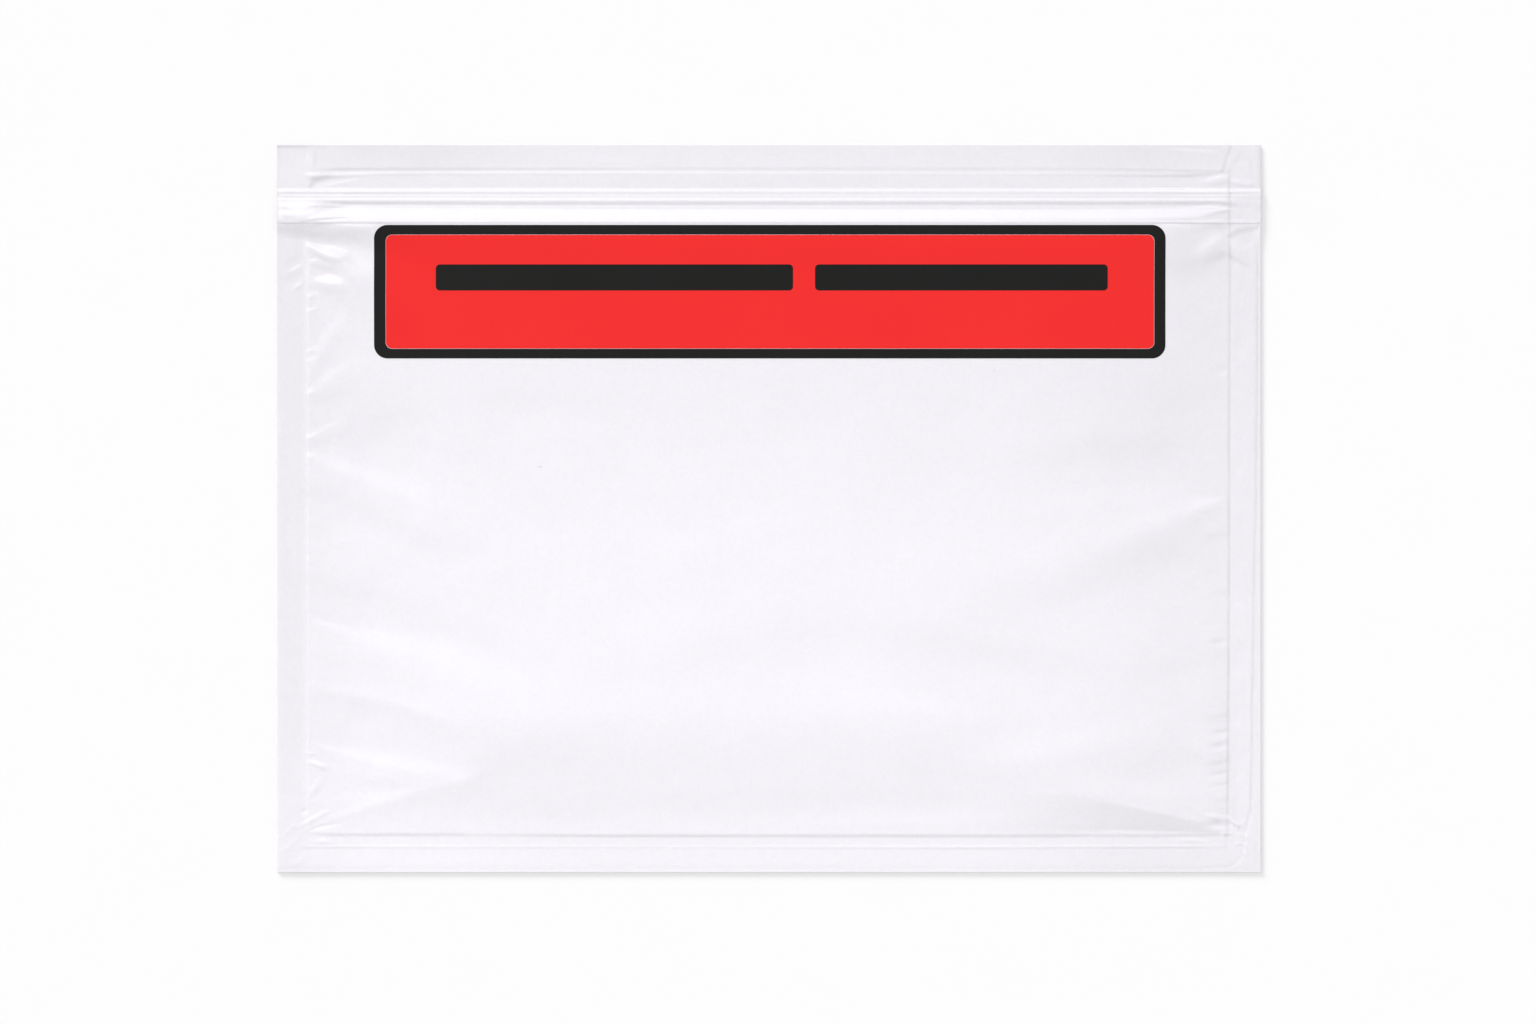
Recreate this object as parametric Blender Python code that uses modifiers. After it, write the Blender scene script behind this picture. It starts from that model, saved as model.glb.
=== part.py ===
"""Self-adhesive document wallet for a carton: a clear film pocket with a lapped mouth, an adhesive back and a paper liner.

It lies flat on its liner. +Z is up, +X runs along the long side and +Y points to the mouth.
The origin is on the resting surface, under the middle of the sheet. Units are metres.
"""

import math

import bmesh
import bpy

# Outer size of the liner and of the film laminate on it
WIDTH = 0.1650
HEIGHT = 0.1220

# Layers, from the resting surface up
LINER_T = 0.00008
ADHESIVE_T = 0.00003
FILM_T = 0.00005
LAYER_GAP = 0.00002

# Welded margins round the pocket
LEFT_MARGIN = 0.0049
RIGHT_MARGIN = 0.0054
BOTTOM_MARGIN = 0.0043
TOP_MARGIN = 0.0045
BOTTOM_FOLD = 0.0062  # where the pocket's film starts to lift, above the lower edge

# Mouth: the flap laps over the free top edge of the front film
LIP_FROM_TOP = 0.0075  # free edge of the front film, below the upper edge
FLAP_FROM_TOP = 0.0131  # free edge of the flap, below the upper edge
LAP_RAMP = 0.0007  # length over which the flap steps up on to the lip

# How far the empty pocket stands up, and how fast it does so from each side
WELD_STEP = 0.00003
SEAM_WIDTH = 0.0005
POCKET_LIFT = 0.00034
SIDE_RAMP = 0.0150
BOTTOM_RAMP = 0.0200
TOP_RAMP = 0.0160

# Adhesive coat: its right edge runs askew and its lower right corner is round
ADHESIVE_INSET = 0.0004
ADHESIVE_SKEW_TOP = 0.0006
ADHESIVE_SKEW_BOTTOM = 0.0020
ADHESIVE_CORNER = 0.0032

X0, X1 = -WIDTH / 2, WIDTH / 2
Y0, Y1 = -HEIGHT / 2, HEIGHT / 2
SEAM_L, SEAM_R = X0 + LEFT_MARGIN, X1 - RIGHT_MARGIN
SEAM_B, SEAM_T = Y0 + BOTTOM_MARGIN, Y1 - TOP_MARGIN
FOLD_B = Y0 + BOTTOM_FOLD
LIP_Y = Y1 - LIP_FROM_TOP
FLAP_Y = Y1 - FLAP_FROM_TOP

Z_ADHESIVE = LINER_T + LAYER_GAP
Z_BACK = Z_ADHESIVE + ADHESIVE_T + LAYER_GAP
Z_FRONT = Z_BACK + FILM_T + LAYER_GAP


def material(name, colour, roughness, alpha=1.0):
    mat = bpy.data.materials.new(name)
    mat.use_nodes = True
    bsdf = mat.node_tree.nodes["Principled BSDF"]
    bsdf.inputs["Base Color"].default_value = (*colour, 1.0)
    bsdf.inputs["Roughness"].default_value = roughness
    bsdf.inputs["Metallic"].default_value = 0.0
    bsdf.inputs["Alpha"].default_value = alpha
    return mat


def collection(name):
    coll = bpy.data.collections.new(name)
    bpy.context.scene.collection.children.link(coll)
    return coll


def slab(name, width, height, thickness, z, mat, coll):
    """A flat sheet with square corners, with its lower face at z."""
    bpy.ops.mesh.primitive_cube_add(size=1.0, location=(0.0, 0.0, z + thickness / 2))
    obj = bpy.context.active_object
    obj.name = name
    obj.scale = (width, height, thickness)
    bpy.ops.object.transform_apply(location=False, rotation=False, scale=True)
    for held in list(obj.users_collection):
        held.objects.unlink(obj)
    coll.objects.link(obj)
    obj.data.materials.append(mat)
    return obj


def outline(name, points, thickness, z, mat, coll):
    """A flat sheet of any outline, with its lower face at z."""
    curve = bpy.data.curves.new(name, "CURVE")
    curve.dimensions = "2D"
    curve.fill_mode = "BOTH"
    curve.extrude = thickness / 2
    spline = curve.splines.new("POLY")
    spline.points.add(len(points) - 1)
    for point, (x, y) in zip(spline.points, points):
        point.co = (x, y, 0.0, 1.0)
    spline.use_cyclic_u = True
    obj = bpy.data.objects.new(name, curve)
    obj.location = (0.0, 0.0, z + thickness / 2)
    coll.objects.link(obj)
    curve.materials.append(mat)
    return obj


def film(name, xs, ys, lower, mat, coll):
    """A film over the grid of lines xs and ys, with its lower face at lower(x, y)."""
    bm = bmesh.new()
    columns, rows = len(xs) - 1, len(ys) - 1
    bmesh.ops.create_grid(bm, x_segments=columns, y_segments=rows, size=0.5)
    for vertex in bm.verts:
        x = xs[round((vertex.co.x + 0.5) * columns)]
        y = ys[round((vertex.co.y + 0.5) * rows)]
        vertex.co = (x, y, lower(x, y))
    mesh = bpy.data.meshes.new(name)
    bm.to_mesh(mesh)
    bm.free()
    obj = bpy.data.objects.new(name, mesh)
    coll.objects.link(obj)
    mesh.materials.append(mat)
    mesh.shade_smooth()
    solid = obj.modifiers.new("thickness", "SOLIDIFY")
    solid.thickness = FILM_T
    solid.offset = 1.0
    solid.use_even_offset = False
    solid.use_rim = True
    return obj


def smooth(t):
    t = min(1.0, max(0.0, t))
    return t * t * (3.0 - 2.0 * t)


def ramp_lines(start, length, count):
    """Lines across a ramp, close together where it bends."""
    return [start + length * (0.5 - 0.5 * math.cos(math.pi * i / count)) for i in range(count + 1)]


def even_lines(start, end, longest):
    """Lines between two others, without either of them."""
    count = max(1, math.ceil((end - start) / longest - 1e-9))
    return [start + (end - start) * i / count for i in range(1, count)]


def lift(x, y):
    """How far the film stands above its welded margin."""
    inside = min(x - SEAM_L, SEAM_R - x, y - SEAM_B, SEAM_T - y)
    step = WELD_STEP * smooth(inside / SEAM_WIDTH)
    across = smooth((x - SEAM_L) / SIDE_RAMP) * smooth((SEAM_R - x) / SIDE_RAMP)
    along = smooth((y - FOLD_B) / BOTTOM_RAMP) * smooth((SEAM_T - y) / TOP_RAMP)
    return step + POCKET_LIFT * across * along


def front_lower(x, y):
    return Z_FRONT + lift(x, y)


def flap_lower(x, y):
    """The flap lies on the back film, and steps up by one film where it laps over the lip."""
    on_lip = smooth((LIP_Y + LAP_RAMP - y) / (LAP_RAMP - 0.0001))
    return Z_FRONT + lift(x, y) + (FILM_T + LAYER_GAP) * on_lip


for old in list(bpy.data.objects):
    bpy.data.objects.remove(old, do_unlink=True)

parts = collection("packing_list_envelope")

paper = material("liner_paper", (0.92, 0.92, 0.93), 0.55)
glue = material("adhesive", (0.90, 0.89, 0.84), 0.35, 0.6)
clear = material("clear_film", (0.90, 0.89, 0.93), 0.18, 0.35)
clear_front = material("clear_front_film", (0.90, 0.89, 0.93), 0.18, 0.35)
clear_flap = material("clear_flap_film", (0.92, 0.91, 0.95), 0.15, 0.35)

slab("release_liner", WIDTH, HEIGHT, LINER_T, 0.0, paper, parts)

# Adhesive coat, counter-clockwise from its lower left corner
right_low, right_high = X1 - ADHESIVE_SKEW_BOTTOM, X1 - ADHESIVE_SKEW_TOP
low = Y0 + ADHESIVE_INSET
corner = [
    (
        right_low - ADHESIVE_CORNER * (1.0 - math.sin(angle)),
        low + ADHESIVE_CORNER * (1.0 - math.cos(angle)),
    )
    for angle in (math.radians(11.25 * i) for i in range(9))
]
coat = (
    [(X0 + ADHESIVE_INSET, low)]
    + corner
    + [(right_high, Y1 - ADHESIVE_INSET), (X0 + ADHESIVE_INSET, Y1 - ADHESIVE_INSET)]
)
outline("adhesive_coat", coat, ADHESIVE_T, Z_ADHESIVE, glue, parts)

slab("back_film", WIDTH, HEIGHT, FILM_T, Z_BACK, clear, parts)

# Lines of the two shaped films. Both use the same ones where they lap.
columns = (
    [X0, SEAM_L]
    + [SEAM_L + SEAM_WIDTH]
    + ramp_lines(SEAM_L + SEAM_WIDTH, SIDE_RAMP - SEAM_WIDTH, 6)[1:]
    + even_lines(SEAM_L + SIDE_RAMP, SEAM_R - SIDE_RAMP, 0.018)
    + ramp_lines(SEAM_R - SIDE_RAMP, SIDE_RAMP - SEAM_WIDTH, 6)
    + [SEAM_R, X1]
)
lap = even_lines(FLAP_Y, LIP_Y, 0.0019)
front_rows = (
    [Y0, SEAM_B, SEAM_B + SEAM_WIDTH]
    + ramp_lines(FOLD_B, BOTTOM_RAMP, 6)
    + even_lines(FOLD_B + BOTTOM_RAMP, SEAM_T - TOP_RAMP, 0.012)
    + [SEAM_T - TOP_RAMP]
    + even_lines(SEAM_T - TOP_RAMP, FLAP_Y, 0.0022)
    + [FLAP_Y]
    + lap
    + [LIP_Y]
)
flap_rows = (
    [FLAP_Y]
    + lap
    + [LIP_Y, LIP_Y + 0.0001]
    + ramp_lines(LIP_Y + 0.0001, LAP_RAMP - 0.0001, 3)[1:]
    + even_lines(LIP_Y + LAP_RAMP, SEAM_T - SEAM_WIDTH, 0.0010)
    + [SEAM_T - SEAM_WIDTH, SEAM_T, Y1]
)

film("front_film", columns, front_rows, front_lower, clear_front, parts)
film("closure_flap", columns, flap_rows, flap_lower, clear_flap, parts)
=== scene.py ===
import math

import bmesh
import bpy
import numpy as np
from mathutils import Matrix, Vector


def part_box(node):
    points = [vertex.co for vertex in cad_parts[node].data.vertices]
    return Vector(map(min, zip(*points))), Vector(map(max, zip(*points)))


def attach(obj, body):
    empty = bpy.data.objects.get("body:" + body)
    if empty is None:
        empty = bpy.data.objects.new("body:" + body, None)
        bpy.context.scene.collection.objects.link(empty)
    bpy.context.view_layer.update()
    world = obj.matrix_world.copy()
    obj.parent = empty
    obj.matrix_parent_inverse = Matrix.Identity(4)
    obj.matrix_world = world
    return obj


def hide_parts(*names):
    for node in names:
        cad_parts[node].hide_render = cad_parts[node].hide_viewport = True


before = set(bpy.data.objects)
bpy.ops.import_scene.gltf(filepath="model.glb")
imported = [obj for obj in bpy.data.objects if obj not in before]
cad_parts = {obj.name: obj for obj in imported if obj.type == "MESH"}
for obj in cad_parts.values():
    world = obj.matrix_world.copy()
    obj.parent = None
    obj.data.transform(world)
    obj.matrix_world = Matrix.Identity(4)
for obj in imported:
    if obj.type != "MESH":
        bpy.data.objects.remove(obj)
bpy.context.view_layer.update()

# --------------------------------------------------------------------------
# Plan coordinates. u runs right and v runs down the sheet, in steps of about
# 0.168 mm, with the sheet from u 277 to 1260.5 and from v 145.5 to 871.5.
# Heights in the relief are in millimetres.
# --------------------------------------------------------------------------

# --- relief start
U0, U1, V0, V1 = 277.0, 1260.5, 145.5, 871.5
WIDTH, HEIGHT = 0.165, 0.122
MX, MY = WIDTH / (U1 - U0), HEIGHT / (V1 - V0)
PITCH = 0.168  # millimetres a step
LIP_V = 190.1  # free edge of the front film, under the flap
FLAP_V = 223.46  # free edge of the flap

TO_LIGHT = (0.64, 0.77)  # a slope that rises this way in plan faces the key light
GAIN = 73.0  # how many shades of 255 a slope of one would be worth


def X(u):
    return (u - 0.5 * (U0 + U1)) * MX


def Y(v):
    return (0.5 * (V0 + V1) - v) * MY


def smooth01(t):
    t = np.clip(t, 0.0, 1.0)
    return t * t * (3.0 - 2.0 * t)


def knots(u, table):
    """Values along u, linear between the rows (u, value) of a table."""
    table = np.array(table, float)
    return np.interp(u, table[:, 0], table[:, 1])


def waves(x, seed, scale, octaves=3):
    """Smooth seeded waves along one line, from about -1 to 1."""
    rng = np.random.RandomState(seed)
    out = np.zeros_like(np.asarray(x, float))
    total = 0.0
    for k in range(octaves):
        size, weight = scale / 2.0**k, 0.6**k
        grid = rng.uniform(-1.0, 1.0, 4096)
        p = np.asarray(x, float) / size + 97.0
        i = np.floor(p).astype(int) % 4000
        f = smooth01(p - np.floor(p))
        out += weight * (grid[i] * (1.0 - f) + grid[i + 1] * f)
        total += weight
    return out / total


def waves2(u, v, seed, scale, octaves=3, stretch=1.0):
    """Smooth seeded waves over the plan, from about -1 to 1."""
    rng = np.random.RandomState(seed)
    out = np.zeros_like(u, dtype=float)
    total = 0.0
    for k in range(octaves):
        size, weight = scale / 2.0**k, 0.55**k
        grid = rng.uniform(-1.0, 1.0, (256, 256))
        angle = 0.7 * k + 0.3
        p = (u * math.cos(angle) - v * math.sin(angle)) / (size * stretch) + 31.0
        q = (u * math.sin(angle) + v * math.cos(angle)) / size + 57.0
        i, j = np.floor(p).astype(int), np.floor(q).astype(int)
        f, g = smooth01(p - i), smooth01(q - j)
        i, j = i % 255, j % 255
        out += weight * (
            (grid[i, j] * (1 - f) + grid[i + 1, j] * f) * (1 - g)
            + (grid[i, j + 1] * (1 - f) + grid[i + 1, j + 1] * f) * g
        )
        total += weight
    return out / total


def spline(points, step=3.0):
    """Rows on a smooth curve through the given rows, about step apart in plan."""
    P = np.array(points, float)
    Q = np.vstack([2 * P[0] - P[1], P, 2 * P[-1] - P[-2]])
    out = []
    for k in range(1, len(Q) - 2):
        a, b, c, d = Q[k - 1], Q[k], Q[k + 1], Q[k + 2]
        count = max(1, math.ceil(math.hypot(c[0] - b[0], c[1] - b[1]) / step))
        for t in np.arange(count) / count:
            row = 0.5 * (2 * b + (c - a) * t + (2 * a - 5 * b + 4 * c - d) * t * t + (3 * b - a - 3 * c + d) * t**3)
            row[2:] = b[2:] * (1 - t) + c[2:] * t
            out.append(row)
    out.append(P[-1])
    return np.array(out)


def along_path(us, vs, U, V, points, step=3.0):
    """For the part of a grid near a path of rows (u, v, amount, near width, far width): where it is, and there the distance,
    the signed side (far from the light is over 0), the amount, both widths and how squarely the path faces the light."""
    P = spline(points, step)
    pad = max(P[:, 3].max(), P[:, 4].max()) + 1.5
    i0, i1 = np.searchsorted(us, [P[:, 0].min() - pad, P[:, 0].max() + pad])
    j0, j1 = np.searchsorted(vs, [P[:, 1].min() - pad, P[:, 1].max() + pad])
    if i1 <= i0 or j1 <= j0:
        return None
    U, V = U[j0:j1, i0:i1], V[j0:j1, i0:i1]
    best = np.full(U.shape, 1e9)
    amount, near_w, far_w, side, square = (np.zeros(U.shape) for _ in range(5))
    whole = P[-1, :2] - P[0, :2]
    turn = 1.0 if -whole[1] * TO_LIGHT[0] + whole[0] * TO_LIGHT[1] > 0 else -1.0
    for p, q in zip(P[:-1], P[1:]):
        d = q[:2] - p[:2]
        size2 = max(float(d @ d), 1e-9)
        t = np.clip(((U - p[0]) * d[0] + (V - p[1]) * d[1]) / size2, 0.0, 1.0)
        du, dv = U - (p[0] + t * d[0]), V - (p[1] + t * d[1])
        dist = np.hypot(du, dv)
        n = turn * np.array([-d[1], d[0]]) / math.sqrt(size2)
        s = du * n[0] + dv * n[1]
        closer = dist < best
        best = np.where(closer, dist, best)
        amount = np.where(closer, p[2] + t * (q[2] - p[2]), amount)
        near_w = np.where(closer, p[3] + t * (q[3] - p[3]), near_w)
        far_w = np.where(closer, p[4] + t * (q[4] - p[4]), far_w)
        side = np.where(closer, s, side)
        square = np.where(closer, abs(n[0] * TO_LIGHT[0] + n[1] * TO_LIGHT[1]), square)
    return (slice(j0, j1), slice(i0, i1)), best, side, amount, near_w, far_w, square


class Shade:
    """An even grid of how light the film is to look from its slope, in shades of 255. height() gives the film that looks so."""

    def __init__(self, first_v=190.0, last_v=872.0):
        self.us, self.vs = np.arange(277.0, 1261.0), np.arange(first_v, last_v + 1.0)
        self.U, self.V = np.meshgrid(self.us, self.vs)
        self.T = np.zeros_like(self.U)

    def stroke(self, *points, step=4.0, hold=0.0):
        """Rows (u, v, shades, width on the side to the light, width on the far side) of a path with soft sides.
        hold is the share of each width that keeps its full shade."""
        found = along_path(self.us, self.vs, self.U, self.V, points, step)
        if found:
            where, best, side, amount, near_w, far_w, _ = found
            w = np.maximum(np.where(side < 0, near_w, far_w), 0.4)
            self.T[where] += amount * smooth01((1.0 - best / w) / (1.0 - hold))

    def crease(self, *rows, gain=1.6, grow=1.3):
        """A thin stroke, made stronger and wider to make up for what the mesh loses of it."""
        self.stroke(*[(u, v, gain * amount, grow * near, grow * far) for u, v, amount, near, far in rows])

    def height(self, reach=110.0):
        """Millimetres, on this grid. The film is as smooth across the light as it can be, and is level again after some reach."""
        T = np.zeros((1024, 1280))
        T[: self.T.shape[0], : self.T.shape[1]] = self.T / GAIN
        ku = 2 * math.pi * np.fft.rfftfreq(T.shape[1])[None, :]
        kv = 2 * math.pi * np.fft.fftfreq(T.shape[0])[:, None]
        kd, kp = TO_LIGHT[0] * ku + TO_LIGHT[1] * kv, -TO_LIGHT[1] * ku + TO_LIGHT[0] * kv
        F = np.fft.rfft2(T) * (-1j * kd) / (kd * kd + 0.03 * kp * kp + 1.0 / reach**2)
        H = np.fft.irfft2(F, s=T.shape)
        return PITCH * H[: self.T.shape[0], : self.T.shape[1]]

    def line(self, rows, near, far, wander=0.2, beads=0.12, seed=1, along_v=False, hold=0.0):
        """A line along u, or along v. rows are (place, where across, shades); near and far are its widths to the light and away."""
        rows = np.array(rows, float)
        places, across = (self.vs, self.U) if along_v else (self.us, self.V)
        centre = np.interp(places, rows[:, 0], rows[:, 1]) + wander * waves(places, seed, 40.0)
        shades = np.interp(places, rows[:, 0], rows[:, 2]) * (1.0 + beads * waves(places, seed + 50, 12.0, 2))
        shades = np.where((places < rows[0, 0]) | (places > rows[-1, 0]), 0.0, shades)
        if along_v:
            centre, shades = centre[:, None], shades[:, None]
        off = across - centre
        self.T += shades * smooth01((1.0 - np.abs(off) / np.where(off < 0, near, far)) / (1.0 - hold))

    def at(self, H, u, v):
        i = np.clip((u - self.us[0]).astype(int), 0, len(self.us) - 2)
        j = np.clip((v - self.vs[0]).astype(int), 0, len(self.vs) - 2)
        f, g = np.clip(u - self.us[i], 0, 1), np.clip(v - self.vs[j], 0, 1)
        return (H[j, i] * (1 - f) + H[j, i + 1] * f) * (1 - g) + (H[j + 1, i] * (1 - f) + H[j + 1, i + 1] * f) * g


class Plan:
    """A grid of plan lines with a height at each crossing."""

    def __init__(self, us, vs):
        self.us, self.vs = np.array(us, float), np.array(vs, float)
        self.U, self.V = np.meshgrid(self.us, self.vs)
        self.H = np.zeros_like(self.U)

    def fold(self, *points, form="soft"):
        """A ridge or groove along points (u, v, shades, width on the side to the light, width on the far side).
        shades is how far its narrower side stands out; a ridge is over 0 and a groove under 0."""
        found = along_path(self.us, self.vs, self.U, self.V, points, 2.0)
        if not found:
            return
        where, best, side, amount, near_w, far_w, square = found
        near_w, far_w = 1.2 * np.maximum(near_w, 0.3), 1.2 * np.maximum(far_w, 0.3)
        h = 1.6 * amount * np.minimum(near_w, far_w) * PITCH / (1.5 * GAIN * np.maximum(0.4, square))
        t = np.clip(best / np.where(side < 0, near_w, far_w), 0.0, 1.0)
        if form == "soft":
            shape = smooth01(1.0 - t)
        else:
            shape = 1.5 * (1.0 - t) ** 1.25 / 1.25
        self.H[where] += h * shape

    def across(self, rows, width=2.5, fade=None, wander=0.25, beads=0.15, seed=1):
        """A line that runs along u: the height steps by it. rows are (u, v, shades): light over 0, dark under 0."""
        rows = np.array(rows, float)
        centre = np.interp(self.us, rows[:, 0], rows[:, 1]) + wander * waves(self.us, seed, 40.0)
        shades = np.interp(self.us, rows[:, 0], rows[:, 2]) * (1.0 + beads * waves(self.us, seed + 50, 26.0, 2))
        dh = shades * width * PITCH / (1.5 * GAIN * TO_LIGHT[1])
        t = (self.V - centre[None, :]) / width + 0.5
        step = smooth01(t)
        if fade:
            step = step * (1.0 - smooth01((self.V - centre[None, :] - 0.5 * width) / fade))
        self.H += dh[None, :] * step

    def down(self, rows, width=2.5, fade=None, wander=0.2, beads=0.15, seed=1):
        """A line that runs along v. rows are (v, u, shades)."""
        rows = np.array(rows, float)
        centre = np.interp(self.vs, rows[:, 0], rows[:, 1]) + wander * waves(self.vs, seed, 40.0)
        shades = np.interp(self.vs, rows[:, 0], rows[:, 2]) * (1.0 + beads * waves(self.vs, seed + 50, 22.0, 2))
        dh = shades * width * PITCH / (1.5 * GAIN * TO_LIGHT[0])
        t = (self.U - centre[:, None]) / width + 0.5
        step = smooth01(t)
        if fade:
            step = step * (1.0 - smooth01((self.U - centre[:, None] - 0.5 * width) / fade))
        self.H += dh[:, None] * step


def side_margins(s):
    """Seams, edges and the coat's edge, which run down both side margins of the flap and of the front film."""
    # thin turned edge at the left, strong at the top
    s.line([(146, 278.4, -8), (240, 278.4, -8), (330, 278.4, -4), (420, 278.4, 0)], 1.0, 1.6, seed=10, along_v=True)
    # coat's edge down the right margin
    s.line([(146, 1259.2, -10), (188, 1259.0, -12), (222, 1258.0, -12), (225, 1257.6, -18), (380, 1257.4, -18), (440, 1256.4, -16), (500, 1255.8, -14), (580, 1253.6, -13), (650, 1252.8, -14), (700, 1252.0, -18),
            (760, 1251.2, -16), (790, 1250.6, -16), (812, 1249.8, -12), (820, 1249.4, 0)], 1.6, 1.9, beads=0.35, seed=11, along_v=True)
    s.line([(225, 1259.2, 0), (232, 1259.4, 4), (380, 1259.4, 4), (500, 1258.6, 4), (650, 1256, 3), (800, 1254, 3), (820, 1253, 0)], 1.3, 1.6, seed=12, along_v=True)


def left_wrinkles(g):
    # margin creases
    g.fold((286, 275, 0, 2, 2), (294, 270, 5, 2, 2), (303, 264.5, 1, 2, 2))
    g.fold((289, 293, 0, 2, 2), (297, 287.5, 5, 2, 2), (304, 282.5, 1, 2, 2))
    g.fold((291, 330, 0, 2, 3), (298, 326, 3, 2, 3), (304, 321, 0, 2, 3))


def upper_left_slack(s):
    # shadow under the flap's edge
    s.stroke((277, 226, -13, 4, 5), (292, 226.5, -15, 4.5, 6), (304, 226.5, -13, 4, 7), (318, 225.5, -11, 4, 6), (332, 224, -4, 4, 4), (340, 223, 0, 3, 3))
    s.stroke((308, 232, -4, 5, 6), (312, 236, -9, 6, 7), (318, 240, -5, 7, 4), (326, 243, 0, 6, 3))
    s.stroke((320, 233, 0, 8, 8), (334, 235, -4, 9, 9), (350, 237, -3, 9, 9), (366, 238, 0, 8, 8))
    s.stroke((336, 224.6, 0, 2, 2), (346, 225.4, 9, 3, 2.4), (360, 226, 11, 3, 2.4), (372, 225.8, 8, 3, 2), (384, 225, 0, 2, 2))
    # bright leaf under the flap's end, with a tail over the margin
    s.stroke((296, 252.5, 2, 1.5, 2), (302, 248.5, 6, 1.6, 2.4), (308, 245, 9, 1.6, 2.4), (313, 243.4, 6, 1.6, 3))
    s.stroke((309, 244, 10, 1.6, 2), (316, 245.8, 16, 4, 5), (324, 248.6, 17, 6.0, 6.4), (332, 251.4, 17, 6.6, 6.6), (340, 253.6, 14, 6.4, 5.6), (345, 254.6, 7, 6, 4), (349, 255, 0, 4, 3), hold=0.4)
    s.stroke((310, 250.6, -3, 2, 3), (317, 255, -7, 2.4, 3.4), (325, 259.6, -8, 2.4, 4), (336, 262, -6, 2.4, 5), (348, 262, 0, 2, 5))
    s.stroke((309, 261.5, 7, 2, 2.6), (314, 260, 10, 2.4, 2.8), (320, 260, 3, 2.4, 2.6), (324, 260, 0, 2, 2))
    s.stroke((306, 272, 3, 1.6, 2.4), (308, 266, 6, 1.6, 2.6), (311, 262, 3, 2, 2.4))
    s.stroke((311, 267, -4, 3, 4), (322, 268, -5.5, 4, 5), (334, 270, -4, 4, 5), (343, 271, 0, 4, 4))
    s.stroke((312, 276, 2, 3, 4), (319, 278, 10, 6, 6.4), (328, 279.4, 14, 7, 7), (337, 280, 10, 7, 7), (346, 280, 0, 5, 5), hold=0.2)
    s.stroke((340, 262, 0, 12, 14), (354, 265, 4.4, 16, 18), (366, 270, 4, 14, 20), (376, 278, 0, 12, 14))
    s.stroke((310, 288, -3, 5, 5), (326, 291, -3.4, 6, 7), (344, 292, -2, 7, 8), (362, 292, 0, 7, 8))
    # diagonal bands that leave the seam
    s.stroke((307, 372, 2, 3, 6), (314, 354, 3.4, 8, 9), (326, 334, 3.4, 10, 10), (340, 318, 2, 9, 9), (352, 306, 0, 8, 8))
    s.stroke((310, 384, -1, 5, 4), (324, 360, -2.4, 5, 7), (342, 340, -1.6, 6, 9), (362, 326, 0, 6, 8))
    s.stroke((308, 391, 5, 2, 4), (316, 384, 3.6, 6, 7), (334, 373, 3.4, 8, 9), (352, 364, 1.6, 8, 9), (368, 358, 0, 7, 8))
    s.stroke((308, 404, -2.5, 5, 6), (326, 398, -3, 8, 8), (346, 390, -1.6, 8, 9), (366, 384, 0, 8, 8))
    s.stroke((308, 436, 4, 2, 3), (318, 430, 3.6, 4, 5), (334, 423, 3, 6, 6), (350, 418, 0, 6, 6))


def lower_left(g):
    g.fold((305, 752, 1, 2, 3), (312, 753, 5, 2, 3), (319, 751, 0, 2, 3))
    g.fold((305, 763, 1, 2, 3), (312, 762, 5, 2.4, 3), (322, 766, 6, 3.4, 4), (331, 769, 0, 3, 4))
    g.fold((308, 797, 1, 3, 4), (314, 789, 5, 4, 5), (322, 779, 0, 4, 5))
    # corner
    g.fold((296, 828, 2, 2.4, 2.4), (309, 821, 6.4, 3, 3.4), (322, 814, 5, 3.4, 3.6), (332, 809, 0, 3, 3))
    g.fold((299, 812, 0, 3, 3), (304, 811, -6, 3, 3), (310, 809, 0, 3, 3))
    g.fold((307, 831.5, -3, 2, 2.5), (318, 826.8, -9, 2, 2.6), (330, 824.4, -8, 2, 2.6), (344, 822, 0, 2, 2.5))
    g.fold((312, 843, 0, 3, 2.5), (322, 841.6, 6, 4, 2.5), (336, 842.4, 0, 4, 2.5))
    for a, b, s in [((306, 829), (275, 856), 5), ((301, 816), (275, 841), 4.5), ((306, 851), (289, 869), 5), ((296, 858), (283, 866), 3)]:
        m = (0.5 * (a[0] + b[0]) + 1, 0.5 * (a[1] + b[1]) + 1)
        g.fold((*a, 0, 2, 3), (*m, s, 2, 3.5), (*b, 0, 2, 3))


def slack_film():
    """Broad forms of the slack film between the seams."""
    s = Shade()
    upper_left_slack(s)
    left = Shade()
    left_slack(left)
    s.T += 0.76 * left.T
    middle_slack(s)
    right_slack(s)
    return s


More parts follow.
